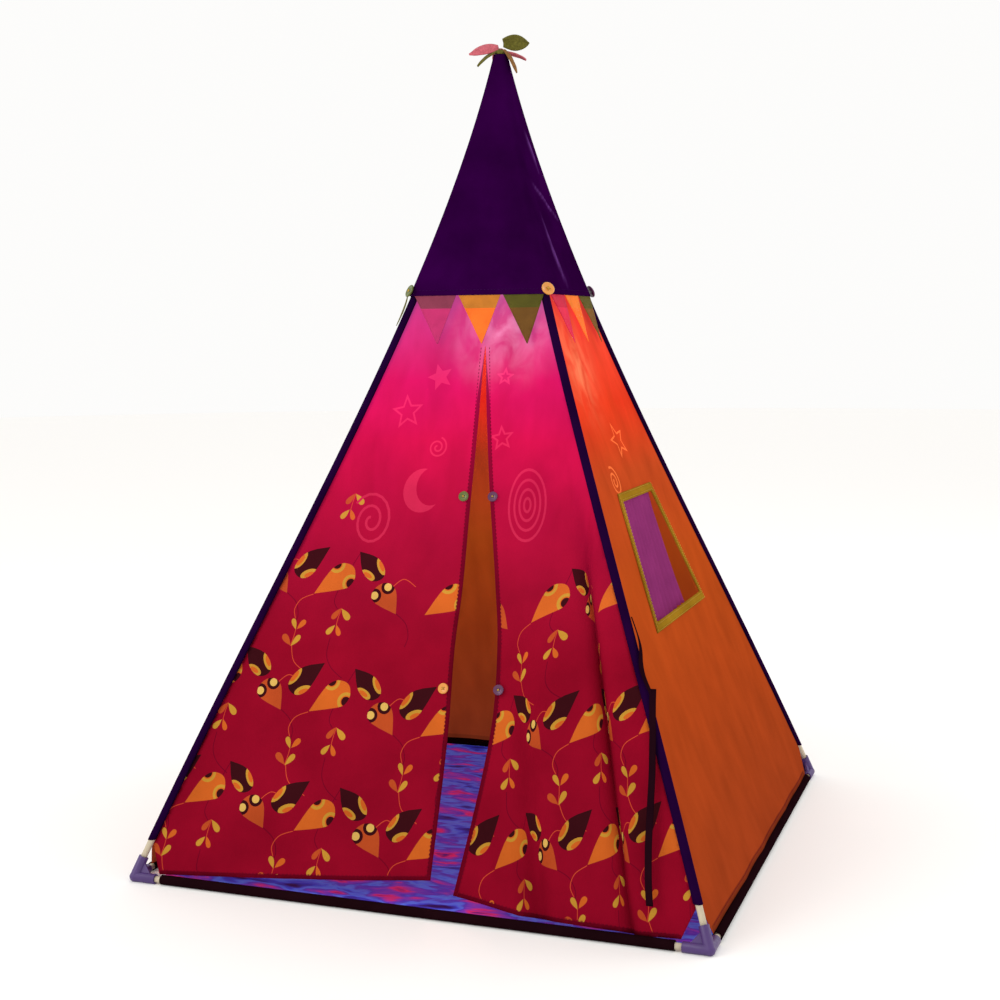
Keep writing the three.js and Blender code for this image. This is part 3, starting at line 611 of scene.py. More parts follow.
def fan(corners, tone, places, rings):
    """A kite with a rounded end, where ringed spots lie; rings holds each one's radius and tone."""
    body = soften(corners)
    spots = [(ellipse(x, y, radius, radius), ring, body) for x, y in places for radius, ring in rings]
    return [(body, tone, None), *spots]


def petal(x, y, length, width, angle):
    """A drop that points back at (x, y)."""
    loop = np.array([(0, 0), (0.45, 0.42), (0.86, 0.46), (1.03, 0), (0.86, -0.46), (0.45, -0.42)])
    return spun(soften(loop * (length, width)), direction(angle)) + (x, y)


def sprig(turn=0):
    """Four drop-shaped leaves on a stem."""
    tones = (GOLD, AMBER, CORAL, GOLD) if turn == 0 else (AMBER, GOLD, GOLD, CORAL)
    petals = ((2, 3, 21, 10, 113), (4, 4, 22, 11, 48), (-4, -25, 25, 13, 132), (-3, -26, 25, 11, 52))
    parts = [(ribbon(curve_through([(-4, -26), (0, -10), (2, 4)]), 1.1), VINE, None)]
    parts += [(petal(*shape), tone, None) for shape, tone in zip(petals, tones)]
    return [(spun(loop, direction(turn)), tone, clip) for loop, tone, clip in parts]


# What one repeat of the print holds, placed in millimetres from its large dark kite.
REPEAT = {
    "kite": (kite([(35, 29), (17, -9), (3, -27), (-18, -30), (-33, -12), (-10, 21)],
                  ((-20, 4, 19, 9.5, 55), (1, -21, 17, 8.5, 20)), 1), (0, 0)),
    "fan": (fan([(-38, -29), (-12, 17), (8, 29), (31, 24), (37, 4), (30, -12), (18, -19)], AMBER,
                ((-2, 25), (29, -8)), ((16, GOLD), (10.5, AMBER), (8.5, DARK))), (55, -26)),
    "small_kite": (kite([(-28, 24), (6, 17), (24, -2), (25, -22), (2, -30), (-20, -12)],
                        ((17, 0, 17, 8, -64), (-7, -17, 15, 7.5, -28)), 0), (121, -1)),
    "small_fan": (fan([(24, -28), (21, 12), (6, 26), (-12, 24), (-27, 8), (-24, -10)], CORAL,
                      ((3, 18), (-20, 2)), ((12.5, DARK), (7, PALE))), (152, -55)),
    "sprig": (sprig(), (-10, -123)),
    "hanging_sprig": (sprig(180), (70, -104)),
}
VINES = (
    ([(16, -56), (-6, -66), (-16, -84), (-12, -100)], VINE),
    ([(176, -82), (196, -98), (204, -120), (200, -138)], VINE_DARK),
    ([(66, -80), (58, -62), (74, -20), (94, 20)], VINE_DARK),
    ([(60, -130), (58, -160), (70, -182), (92, -198)], VINE_DARK),
    ([(160, -40), (182, -22), (206, -34)], VINE),
    ([(-12, -146), (-2, -176), (30, -196)], VINE),
)
VINE_WIDTH = 1.3
REPEAT_PITCH = np.array([0.212, -0.0267])
EVERYTHING = tuple(REPEAT)
MILLIMETRE = 0.001


def print_repeat(place, angle, parts, spread=1.0):
    """One repeat of the print at a place of the cloth, turned by an angle. A cut one has no vines."""
    shapes = []
    if len(parts) > 3:
        shapes += [(ribbon(curve_through(points), VINE_WIDTH), tone, None) for points, tone in VINES]
    for part in parts:
        motif, offset = REPEAT[part]
        for loop, tone, clip in motif:
            shapes.append((loop + offset, tone, None if clip is None else clip + offset))

    def laid(loop):
        squeeze = (MILLIMETRE * spread, MILLIMETRE / SLANT)
        return None if loop is None else spun(loop, direction(angle)) * squeeze + place

    return [(laid(loop), tone, laid(clip)) for loop, tone, clip in shapes]


def print_rows(rows, angle, spread=1.0):
    """Rows of repeats: a row's anchor, how far from it the first repeat is, and what each one shows."""
    step = spun(REPEAT_PITCH[None], direction(angle))[0] * (spread, 1 / SLANT)
    shapes = []
    for anchor, first, shown in rows:
        for i, parts in enumerate(shown):
            shapes += print_repeat(np.array(anchor) + step * (first + i), angle, parts, spread)
    return shapes


def hollow(outer, inner, tone, ground):
    """A shape printed as its outline alone."""
    return [(outer, tone, None), (inner, ground, None)]


def faint_star(x, z, radius, angle, tone, ground):
    gap = 0.0084  # from a tip of the outline to the tip of the star left open inside
    return hollow(star(x, z, radius, angle), star(x, z, radius - gap, angle), tone, ground)


def faint_spiral(x, z, radius, turns, tone, lean=1.0, width=0.0045):
    return [(ribbon(spiral(x, z, radius, turns, lean), width), tone, None)]


def left_print():
    shapes = print_rows([
        ((-0.257, 0.536), -1, (EVERYTHING, EVERYTHING, ("fan",))),
        ((-0.235, 0.346), -1, (EVERYTHING,) * 3),
        ((-0.233, 0.159), -2, (EVERYTHING,) * 4),
    ], 0)
    shapes += print_repeat((-0.262, 0.728), 0, ("hanging_sprig",))
    shapes += faint_star(-0.110, 0.796, 0.031, 8, RED_FAINT, RED)
    shapes += [(star(-0.056, 0.857, 0.024, 20), RED_FAINT, None)]
    shapes += [(ellipse(-0.063, 0.663, 0.036, 0.037, steps=28), RED_FAINT, None),
               (ellipse(-0.046, 0.670, 0.029, 0.032, steps=28), RED, None)]
    shapes += faint_spiral(-0.045, 0.736, 0.018, 2.2, RED_FAINT, width=0.003)
    shapes += faint_spiral(-0.152, 0.610, 0.040, 2.4, RED_FAINT, lean=1.2)
    return shapes


def right_print():
    lean = 13.4  # degrees
    shapes = print_rows([
        ((0.145, 0.5044), -1, (("small_fan",), EVERYTHING[1:], ("fan", "sprig"))),
        ((0.272, 0.3254), -1, (EVERYTHING,) * 4),
        ((0.322, 0.1521), -1, (EVERYTHING,) * 4),
    ], lean, 0.95)
    shapes += print_repeat((0.235, 0.722), lean, ("hanging_sprig",))
    shapes += faint_star(0.066, 0.857, 0.017, 0, RED_FAINT, RED)
    shapes += faint_star(0.073, 0.753, 0.023, 10, RED_FAINT, RED)
    for size in (1.0, 0.72, 0.46, 0.22):
        outer = ellipse(0.132, 0.644, 0.034 * size, 0.060 * size, 4, 32)
        inner = ellipse(0.132, 0.644, 0.034 * size - 0.0035, 0.060 * size - 0.0045, 4, 32)
        shapes += hollow(outer, inner, RED_FAINT, RED)
    return shapes


# ---- Front cloth ----------------------------------------------------------------------------------
SEAM = 0.006  # the cloth's edge, in from the leg axis
FOLD_TOP = {"left": 0.013, "right": 0.027}
FOLD_FOOT = {"left": -0.400, "right": 0.400}
FOLD_FOOT_Z = 0.016
SLIT = {
    "left": [(0.0208, 0.910), (0.0225, 0.84), (0.025, 0.783), (0.029, 0.654), (0.034, 0.510),
             (0.034, 0.409), (0.042, 0.266), (0.043, 0.057)],
    "right": [(0.0222, 0.910), (0.0325, 0.84), (0.0415, 0.783), (0.064, 0.655), (0.092, 0.515),
              (0.109, 0.413), (0.1135, 0.269), (0.082, 0.039)],
}
HEM = {
    "left": [(-0.101, 0.043), (-0.284, 0.028), (-0.456, 0.016)],
    "right": [(0.197, 0.022), (0.392, 0.015), (0.456, 0.018)],
}
SEAM_ALLOWANCE = 0.007  # from the cloth's free edges to their stitches
CORNER_Z = 0.062  # where the leg's seam ends over the corner connector
# Pleats of the right half: where each shows at the height below, how fast it leans, the cloth that it
# hides, the cloth that it bends, the height where it starts, and how far below that it is whole.
PLEATS = ((0.117, 0.20, 0.050, 0.130, 0.60, 0.34), (0.242, 0.25, 0.092, 0.150, 0.80, 0.28))
PLEAT_HEIGHT = 0.56
PLEAT_DEPTH = 0.24  # how far a pleat sinks, as a share of the cloth that it hides
CENTRE_SEAM = 0.0215  # where the two halves meet above the slit


def seam(z):
    return inset(z) - SEAM


def edge_fade(u, z, width=0.05):
    """1 inside the cloth, falling to 0 at the legs' seams."""
    return smoothstep((seam(z) - np.abs(u)) / width)


def creases(u, z, seed):
    """How far tension and handling push the cloth out of its plane."""
    upper = smoothstep((z - 0.45) / 0.4)
    fine = 0.0022 * waviness(u / 0.030, z / 0.085, seed) * upper
    broad = 0.0042 * waviness(u / 0.11, z / 0.26, seed + 1)
    return (fine + broad) * edge_fade(u, z)


def pleated(m, z):
    """Where cloth coordinate m lies across the face, and how far the pleats sink it."""
    u = np.array(m, float)
    depth = np.zeros_like(u)
    taken = 0.0
    for place, lean, hidden, span, top, fall in PLEATS:
        share = smoothstep((top - z) / fall)
        start = place + lean * (PLEAT_HEIGHT - z) + taken - (span - hidden) / 2
        t = (m - start) / span
        u = u - hidden * share * smoothstep(t)
        depth = depth - PLEAT_DEPTH * hidden * share * np.sin(math.pi * np.clip(t, 0, 1)) ** 2
        taken = taken + hidden * share
    return u, depth


def cloth_across(u, z):
    """The cloth coordinate whose place across the face is u."""
    m = np.arange(-0.6, 0.75, 0.0005)
    return float(m[np.nonzero(pleated(m, np.full_like(m, z))[0] <= u)[0][-1]])


def place_left(u, z):
    """Where the left half's cloth at (across, height) hangs."""
    hang = smoothstep((0.5 - z) / 0.45)
    folds = 0.0055 * hang * (np.sin((u + 0.12 * z) / 0.026) + 0.6 * np.sin(u / 0.043 + 1.3))
    free = smoothstep((u + 0.5) / 0.35) * edge_fade(u, z, 0.09)
    return face_point(u, z, creases(u, z, 2) + folds * free - 0.002)


def place_right(m, z):
    """Where the right half's cloth at (cloth coordinate, height) hangs, with its pleats."""
    u, depth = pleated(m, z)
    hang = smoothstep((0.5 - z) / 0.45)
    folds = 0.004 * hang * np.sin((m + 0.10 * z) / 0.024)
    fade = edge_fade(u, z, 0.03)
    return face_point(u, z, creases(m, z, 5) * fade + (depth + folds) * fade - 0.001)


def front_outline(side):
    """The left or right half of the front cloth, anticlockwise in (across, height)."""
    heights = np.linspace(CORNER_Z, PANEL_TOP_Z, 40)
    slit = [tuple(p) for p in curve_through(SLIT[side], 4)]
    closed = [(CENTRE_SEAM, DOOR_TOP_Z), (CENTRE_SEAM, PANEL_TOP_Z)]
    if side == "left":
        return [*slit[::-1], *closed, *[(-seam(z), z) for z in heights[::-1]], *HEM["left"][::-1]]
    leg = [(cloth_across(seam(z), z), z) for z in heights]
    hem = [(cloth_across(u, z), z) for u, z in HEM["right"]]
    return [slit[-1], *hem, *leg, *closed[::-1], *slit[:-1]]


def fold_blend(piece, side):
    """Bakes the placement of a piece of the front cloth into its mesh."""
    top = Vector(face_point(FOLD_TOP[side], DOOR_TOP_Z))
    foot = Vector(face_point(FOLD_FOOT[side], FOLD_FOOT_Z))
    flap = Vector(face_point(0.05, 0.4))
    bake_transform(piece)


def add_front():
    """The two halves of the front cloth, with their print, hem bands darkened with painted shade, and
    stitching.
    """
    halves = (("left", place_left, left_print(), -1), ("right", place_right, right_print(), 1))
    for side, place, prints, inward in halves:
        outline = front_outline(side)
        slit = curve_through(SLIT[side], 6)
        hem = [SLIT[side][-1], *[(cloth_across(u, z) if side == "right" else u, z) for u, z in HEM[side]]]
        # The hem bands along the slit and the foot are darkened with painted shade.
        bands = [(ribbon(slit, 0.013 * smoothstep((0.913 - slit[:, 1:]) / 0.12)), RED_HEM_SHADED, None),
                 (ribbon(dense(hem, 0.02, closed=False), 0.012), RED_HEM_SHADED, None)]
        half = drape(f"front_cloth_{side}", outline, place, LOOKS["front"], RED, prints + bands,
                     spacing=0.0075)
        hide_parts(f"door_flap_{side}", *(["front_panel"] if side == "left" else []))
        fold_blend(half, side)
        lines = (slit + (inward * SEAM_ALLOWANCE, 0), dense(hem, 0.01, closed=False) + (0, SEAM_ALLOWANCE))
        rows = [place(line[:, 0], line[:, 1]) + (0, -0.0005, 0) for line in lines]
        thread = stitches(f"door_stitching_{side}", rows, LOOKS["thread"])
        fold_blend(thread, side)


# ---- Side and back cloths -------------------------------------------------------------------------
WINDOW = {"top": 0.638, "bottom": 0.438, "half_top": 0.101, "half_bottom": 0.168, "centre": -0.011}
BINDING_WIDTH = 0.014
SIDE_HEM_Z = 0.0155


def window_corners(grow=0.0):
    """The window's corners, anticlockwise from the lower left, grown outwards."""
    c = WINDOW["centre"]
    low, high = WINDOW["bottom"] - grow, WINDOW["top"] + grow
    half_low, half_high = WINDOW["half_bottom"] + grow * 1.12, WINDOW["half_top"] + grow * 0.88
    return np.array([(c - half_low, low), (c + half_low, low), (c + half_high, high), (c - half_high, high)])


def side_outline():
    heights = np.linspace(CORNER_Z, PANEL_TOP_Z, 30)
    corner = seam(SIDE_HEM_Z) - 0.04
    return [(-corner, SIDE_HEM_Z), (corner, SIDE_HEM_Z), *[(seam(z), z) for z in heights],
            *[(-seam(z), z) for z in heights[::-1]]]


def place_side(quarter):
    """How a side cloth lies on its face; it is drawn flat around the window."""
    def place(u, z):
        slack = -0.004 * smoothstep((seam(z) - np.abs(u)) / 0.3) * smoothstep(z / 0.2)
        around_window = smoothstep(np.abs(u - WINDOW["centre"]) / 0.25 + np.abs(z - 0.54) / 0.2 - 0.6)
        calm = around_window if quarter == 1 else 1.0
        return turned(face_point(u, z, (creases(u, z, 10 + 3 * quarter) + slack) * calm), quarter)
    return place


def widened(shapes, centre, factor):
    """Print shapes stretched across the cloth about a centre."""
    stretch = np.array([factor, 1.0])
    return [((loop - centre) * stretch + centre, tone, clip) for loop, tone, clip in shapes]


def side_print(quarter):
    if quarter == 2:
        return []
    mirror = -1 if quarter == 3 else 1
    star_place, spiral_place = (0.012 * mirror, 0.737), (-0.104 * mirror, 0.672)
    shapes = widened(faint_star(*star_place, 0.034, 12, ORANGE_FAINT, ORANGE), star_place, 1.4)
    shapes += widened(faint_spiral(*spiral_place, 0.026, 2.3, ORANGE_FAINT, width=0.004), spiral_place, 1.15)
    return shapes


def add_sides():
    for quarter, side in ((1, "right"), (2, "back"), (3, "left")):
        outline = side_outline()
        hem_line = dense([(-0.45, SIDE_HEM_Z), (0.45, SIDE_HEM_Z)], 0.02, closed=False)
        # The hem band along the foot is darkened with painted shade.
        prints = side_print(quarter) + [(ribbon(hem_line, 0.020), ORANGE_HEM_SHADED, None)]
        holes = [window_corners()] if quarter == 1 else []
        place = place_side(quarter)
        cloth = drape(f"{side}_cloth", outline, place, LOOKS["plain"], ORANGE, prints, holes, 0.0105)
        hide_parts(f"{side}_panel")
        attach(cloth, "root")
        line = dense([(-0.44, SIDE_HEM_Z + 0.008), (0.44, SIDE_HEM_Z + 0.008)], 0.01, closed=False)
        row = place(line[:, 0], line[:, 1]) + turned(np.array([[0, -0.0006, 0]]), quarter)
        add_trim(stitches(f"hem_stitching_{side}", [row], LOOKS["thread"]))


# ---- Window ---------------------------------------------------------------------------------------
def along_corners(loop, per_side):
    """Points along a loop's sides, as many on each side."""
    loop = np.array(loop)
    t = np.linspace(0, 1, per_side, endpoint=False)[:, None]
    return np.concatenate([a + (b - a) * t for a, b in zip(loop, np.roll(loop, -1, axis=0))])


def add_window():
    inner, outer = (along_corners(window_corners(grow), 26) for grow in (-0.0015, BINDING_WIDTH))
    shares = np.linspace(0, 1, 9)
    bulge = 0.0018 + 0.0022 * np.sin(math.pi * shares) ** 0.6
    rows = []
    for share, rise in zip(shares, bulge):
        p = inner + (outer - inner) * share
        pucker = 0.0004 * waviness(p[:, 0] / 0.006, p[:, 1] / 0.006, 40)
        rows.append(face_point(p[:, 0], p[:, 1], rise + pucker))
    tape = grid("window_binding_tape", turned(np.array(rows), 1)[:, ::-1], LOOKS["binding"], closed=True)
    thicken(tape, 0.0012)
    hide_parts("window_binding")
    add_trim(tape)
    lines = []
    for grow in (0.0018, BINDING_WIDTH - 0.0022):
        p = along_corners(window_corners(grow), 60)
        p = np.concatenate([p, p[:1]])
        lines.append(turned(face_point(p[:, 0], p[:, 1], 0.0039), 1))
    add_trim(stitches("window_stitching", lines, LOOKS["gold_thread"], pitch=0.006))


def add_curtain():
    """A sheer curtain gathered on the window's top edge, which falls a little off the panel."""
    low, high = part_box("window_curtain")
    rows, columns = 42, 96
    drop = np.linspace(0, 1, rows)[:, None]
    across = np.linspace(0, 1, columns)[None, :]
    u_left = WINDOW["centre"] - 0.106 - 0.062 * drop
    u_right = WINDOW["centre"] + 0.104 + 0.012 * drop - 0.010 * np.sin(math.pi * drop)
    u = u_left + (u_right - u_left) * across
    fullness = 0.0045 * (0.3 + 0.7 * smoothstep(drop / 0.4))
    gather = np.sin(across * 2 * math.pi * 11 + 1.5 * np.sin(4 * across) + 0.6 * drop)
    waves = fullness * (0.7 * gather + 0.5 * waviness(across * 7, drop * 1.5, 50))
    z = high.z + (low.z - high.z) * drop + 0.003 * np.sin(across * 9) * drop
    x = np.minimum(low.x + (high.x - low.x) * drop + waves, inset(z) - 0.0024)
    points = np.stack([x, u, z], -1)[::-1]
    curtain = thicken(grid("window_curtain_cloth", points, LOOKS["curtain"]), 0.0005, 0.0)
    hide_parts("window_curtain")
    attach(curtain, "curtain")


# ---- Sleeves --------------------------------------------------------------------------------------
def sleeve_rings(centres, first, second, radius, seams, seed):
    """Rings of cloth around a tube, with sewn ridges at the seams' angles."""
    sides = 28
    angle = np.linspace(0, 2 * math.pi, sides, endpoint=False)
    rows = []
    for i, centre in enumerate(centres):
        r = radius * (1 + 0.018 * waviness(np.cos(angle) * 1.4, np.full(sides, i * 0.45), seed))
        for at in seams:
            gap = (angle - math.radians(at) + math.pi) % (2 * math.pi) - math.pi
            r = r + 0.0011 * np.exp(-((gap / 0.16) ** 2))
        rows.append(centre + np.outer(r * np.cos(angle), first) + np.outer(r * np.sin(angle), second))
    return np.array(rows)


def add_sleeve(name, rings, node, look, thickness):
    """The cloth sleeve that stands for a node and is stretched on a tube."""
    sleeve = thicken(grid(name, rings, LOOKS[look], closed=True), thickness)
    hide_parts(node)
    add_trim(sleeve)


def add_sleeves():
    for quarter, corner in enumerate(CORNERS):
        low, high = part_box(f"leg_sleeve_{corner}")
        z = np.linspace(low.z, high.z, 90)
        centres = turned(np.stack([-inset(z), -inset(z), z], 1), quarter)
        first, second = turned(np.array([[1.0, 0, 0], [0, 1.0, 0]]), quarter)
        rings = sleeve_rings(centres, first, second, SLEEVE_RADIUS, (-28, 118), quarter)
        add_sleeve(f"leg_sleeve_cloth_{corner}", rings, f"leg_sleeve_{corner}", "sleeve",
                   0.0008)
    for quarter, side in enumerate(SIDES):
        half = -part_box("base_sleeve_front")[0].x
        x = np.linspace(-half, half, 70)
        y = -inset(BASE_AXIS_Z)
        centres = np.stack([x, np.full_like(x, y), np.full_like(x, BASE_AXIS_Z)], 1)
        rings = sleeve_rings(centres, (0, 1.0, 0), (0, 0, 1.0), SLEEVE_RADIUS - 0.0002, (78,), 9 + quarter)
        rings[..., 2] = np.maximum(rings[..., 2], 0.0006)
        add_sleeve(f"base_sleeve_cloth_{side}", turned(rings, quarter)[:, ::-1], f"base_sleeve_{side}",
                   "base_sleeve", 0.0007)


# ---- Cap, bunting and leaves ----------------------------------------------------------------------
# Creases of the cap's right face: start and end as (share of the half width, height).
CAP_CREASES = (((-0.5, 1.205), (0.95, 1.135)), ((-0.42, 1.15), (-0.05, 1.01)), ((0.1, 1.30), (0.55, 1.22)))
CREASE_RISE = 0.0028


def crease_line(u, z, half, ends):
    """A soft ridge along a line."""
    (a, low), (b, high) = ends
    t = np.clip((z - low) / (high - low), 0, 1)
    away = u - half * (a + (b - a) * t)
    return CREASE_RISE * np.exp(-((away / 0.005) ** 2)) * np.sin(math.pi * t)


def cap_ring(z):
    """The cap's outline at a height, and how much painted highlight lies on its creases at each of its
    points.
    """
    straight, arc = 30, 7
    half = float(inset(z))
    hem = smoothstep((z - CAP_HEM_Z) / 0.05)
    u = np.linspace(-half, half, straight, endpoint=False)
    fade = smoothstep((half - np.abs(u)) / 0.02) * (0.25 + 0.75 * hem)
    angle = np.radians(-90 + 90 * np.arange(arc) / arc)
    bend = np.stack([half + CAP_OFFSET * np.cos(angle), -half + CAP_OFFSET * np.sin(angle),
                     np.full(arc, z)], 1)
    ring, crease_highlight = [], []
    for quarter in range(4):
        slack = 0.0036 * waviness(u / 0.045, np.full_like(u, z / 0.30), 60 + quarter)
        slack = slack + 0.0016 * waviness(u / 0.018, np.full_like(u, z / 0.11), 66 + quarter)
        crease = sum(crease_line(u, z, half, ends) for ends in CAP_CREASES) if quarter == 1 else 0 * u
        out = (slack + crease) * fade
        flat_part = np.stack([u, -half - CAP_OFFSET - out, np.full_like(u, z)], 1)
        ring.append(turned(np.concatenate([flat_part, bend]), quarter))
        crease_highlight.append(np.concatenate([np.clip(crease / CREASE_RISE, 0, 1), np.zeros(arc)]))
    return np.concatenate(ring), np.concatenate(crease_highlight)


def add_cap():
    """The cap: rings from hem to tip, with slack and creases that carry a painted highlight, and a row of
    stitches at the hem.
    """
    sections, crease_highlight = zip(*[cap_ring(z) for z in np.linspace(CAP_HEM_Z, CAP_TOP_Z, 84)])
    last, tip = sections[-1], np.array([0, 0, CAP_TOP_Z + 0.002])
    closing = [tip + (last - tip) * shares for shares in ((0.55, 0.55, 0.5), (0.05, 0.05, 0.5))]
    rings = np.array([*sections, *closing])
    cap = thicken(grid("cap_cloth", rings, LOOKS["cap"], closed=True), 0.0008)
    attribute = cap.data.attributes.new("crease", "FLOAT", "POINT")
    # The tip's rings carry no painted crease highlight.
    no_highlight = np.zeros(len(last) * len(closing))
    attribute.data.foreach_set("value", np.concatenate([*crease_highlight, no_highlight]).astype(np.float32))
    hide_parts("cap")
    add_trim(cap)
    z = CAP_HEM_Z + 0.009
    half = float(inset(z))
    line = dense([(-half, z), (half, z)], 0.006, closed=False)
    out = CAP_OFFSET + 0.0004 + np.maximum(0, 0.0004 * waviness(line[:, 0] / 0.045, line[:, 1] / 0.3, 60))
    rows = [turned(np.stack([line[:, 0], -half - out, line[:, 1]], 1), quarter) for quarter in range(4)]
    add_trim(stitches("cap_stitching", rows, LOOKS["dark_thread"]))


PENNANTS = {"width": 0.082, "pitch": 0.084, "drop": 0.088, "band": 0.026, "centre": 0.003,
            "tip_shift": 0.015}
# The body and the upper band of each pennant, from left to right.
BUNTING_TONES = {
    "front": ((rgb(176, 44, 96), rgb(128, 54, 74)), (rgb(226, 104, 34), rgb(190, 116, 40)),
              (rgb(98, 66, 26), rgb(78, 74, 24))),
    "side": ((rgb(206, 38, 70), rgb(190, 34, 62)), (rgb(240, 104, 34), rgb(228, 116, 38)),
             (rgb(110, 74, 24), rgb(84, 76, 22))),
}


def place_bunting(quarter):
    """How the pennants of one face hang, looser towards their tips."""
    def place(u, z):
        loose = smoothstep((CAP_HEM_Z - z) / 0.09)
        broad, fine = waviness(u / 0.03, z / 0.12, 80 + quarter), waviness(u / 0.012, z / 0.03, 90 + quarter)
        flutter = np.maximum(0.0022 * broad + 0.001 * fine, -0.003)
        return turned(face_point(u, z, SLEEVE_RADIUS + 0.0010 + flutter * loose), quarter)
    return place


def bunting_shapes(tones):
    """The outline of one face's pennants, and the body and upper band of each as print."""
    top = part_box("bunting_front")[1].z
    foot, fold = CAP_HEM_Z - PENNANTS["drop"], CAP_HEM_Z - PENNANTS["band"]
    edge, high_edge = float(inset(CAP_HEM_Z)) + 0.001, float(inset(top)) + 0.001
    outline = [(-high_edge, top), (-edge, CAP_HEM_Z)]
    prints = []
    for place, (body, band) in zip((-1, 0, 1), tones):
        middle = PENNANTS["centre"] + place * PENNANTS["pitch"]
        left, right = middle - PENNANTS["width"] / 2, middle + PENNANTS["width"] / 2
        tip = middle + PENNANTS["tip_shift"]
        outline += [(max(left, -edge), CAP_HEM_Z), (tip - 0.001, foot), (tip + 0.001, foot),
                    (min(right, edge), CAP_HEM_Z)]
        shape = np.array([(left, top + 0.01), (left, CAP_HEM_Z), (tip, foot - 0.002), (right, CAP_HEM_Z),
                          (right, top + 0.01)])
        strip = np.array([(left - 0.01, top + 0.02), (left - 0.01, fold), (right + 0.01, fold),
                          (right + 0.01, top + 0.02)])
        prints += [(shape, (*body, 0.25), None), (strip, (*band, 0.12), shape)]
    return [*outline, (edge, CAP_HEM_Z), (high_edge, top)], prints


def add_bunting():
    """The four strips of pennants that hang from the cap's hem."""
    for quarter, side in enumerate(SIDES):
        outline, prints = bunting_shapes(BUNTING_TONES["side" if quarter % 2 else "front"])
        strip = drape(f"bunting_cloth_{side}", outline, place_bunting(quarter), LOOKS["bunting"],
                      (*rgb(120, 40, 90), 0.1), prints, spacing=0.007, thickness=0.0005)
        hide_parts(f"bunting_{side}")
        add_trim(strip)


def principal(node):
    """A CAD piece's centre and its long, middle and short directions with their lengths."""
    points = node_points(node)
    centre = (points.max(0) + points.min(0)) / 2
    points = points - points.mean(0)
    _, _, axes = np.linalg.svd(points, full_matrices=False)
    spans = [np.ptp(points @ axis) for axis in axes]
    return centre, axes, spans


LEAF_LOOKS = {"rose": "rose", "olive": "olive", "mauve": "rose", "moss": "olive", "tan": "tan",
              "pink": "rose"}


def add_leaves():
    for i, (kind, finish) in enumerate(LEAF_LOOKS.items()):
        node = f"apex_leaf_{kind}"
        centre, (along, side, _), (length, width, _) = principal(node)
        if np.dot(along[:2], centre[:2]) < 0:
            along = -along
        up = np.cross(along, side)
        if up[2] < 0:
            side, up = -side, -up
        centre, length, width = centre - along * 0.004, length + 0.008, width * 1.06
        t = np.linspace(0, 1, 22)
        outline = width / 2 * np.sin(math.pi * np.clip(t * 0.84 + 0.16, 0, 1) ** 1.1) ** 0.75
        outline = np.maximum(outline, 0.0006)
        across = np.linspace(-1, 1, 11)
        s, a = np.meshgrid(t, across, indexing="ij")
        arch = 0.0035 * (1 - (2 * s - 1) ** 2) - 0.0030 * np.abs(a) ** 1.5
        arch = arch + 0.0012 * waviness(s * 3, a * 1.5, 20 + i)
        vein = -0.0006 * np.exp(-((a / 0.12) ** 2))
        points = (centre + np.multiply.outer((s - 0.5) * length, along)
                  + np.multiply.outer(a * outline[:, None], side) + np.multiply.outer(arch + vein, up))
        leaf = thicken(grid(f"felt_leaf_{kind}", points, LOOKS[finish]), 0.0018, 0.0)
        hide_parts(node)
        add_trim(leaf)


def add_apex_button():
    """A small gathered knot of cloth that holds the leaves at the top."""
    rings = []
    sides = 20
    angle = np.linspace(0, 2 * math.pi, sides, endpoint=False)
    for height, radius in ((0.0, 0.010), (0.003, 0.0105), (0.006, 0.009), (0.0085, 0.005), (0.0095, 0.001)):
        r = radius * (1 + 0.06 * np.cos(angle * 7))
        z = np.full(sides, CAP_TOP_Z + 0.001 + height)
        rings.append(np.stack([r * np.cos(angle), r * np.sin(angle), z], 1))
    add_trim(grid("apex_knot", np.array(rings), LOOKS["olive"], closed=True))


# ---- Mat and straps -------------------------------------------------------------------------------
def add_mat():
    low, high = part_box("floor_mat")
    half = high.x
    clip = 0.058
    outline = [(-half + clip, -half), (half - clip, -half), (half, -half + clip), (half, half - clip),
               (half - clip, half), (-half + clip, half), (-half, half - clip), (-half, -half + clip)]

    def place(x, y):
        ripples = waviness(x / 0.16, y / 0.035, 30) + 0.6 * waviness(x / 0.07, y / 0.05, 31)
        edge = smoothstep((half - np.maximum(np.abs(x), np.abs(y))) / 0.05)
        return np.stack([x, y, low.z + 0.0014 + 0.0022 * (1 + ripples) * edge], -1)

    mat = drape("floor_mat_cloth", outline, place, LOOKS["mat"], (0.1, 0.1, 0.4, 1), spacing=0.013,
                thickness=0.0010)
    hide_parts("floor_mat")
    add_trim(mat)


STRAP_WIDTH = 0.011


def strap_piece(name, centres, sides, twist, body, node=None, width=STRAP_WIDTH):
    """A flat strap along a line; its width turns a little as it hangs."""
    centres = np.array(centres)
    sides = np.array(sides, float)
    shares = np.linspace(-0.5, 0.5, 5)
    along = np.gradient(centres, axis=0)
    along /= np.linalg.norm(along, axis=1)[:, None]
    normal = np.cross(along, sides)
    angle = np.radians(twist)[:, None]
    across = sides * np.cos(angle) + normal * np.sin(angle)
    points = centres[:, None] + across[:, None] * (shares * width)[None, :, None]
    strap = thicken(grid(name, points, LOOKS["strap"]), 0.0011, 0.0)
    if node:
        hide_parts(node)
    add_trim(strap, body)


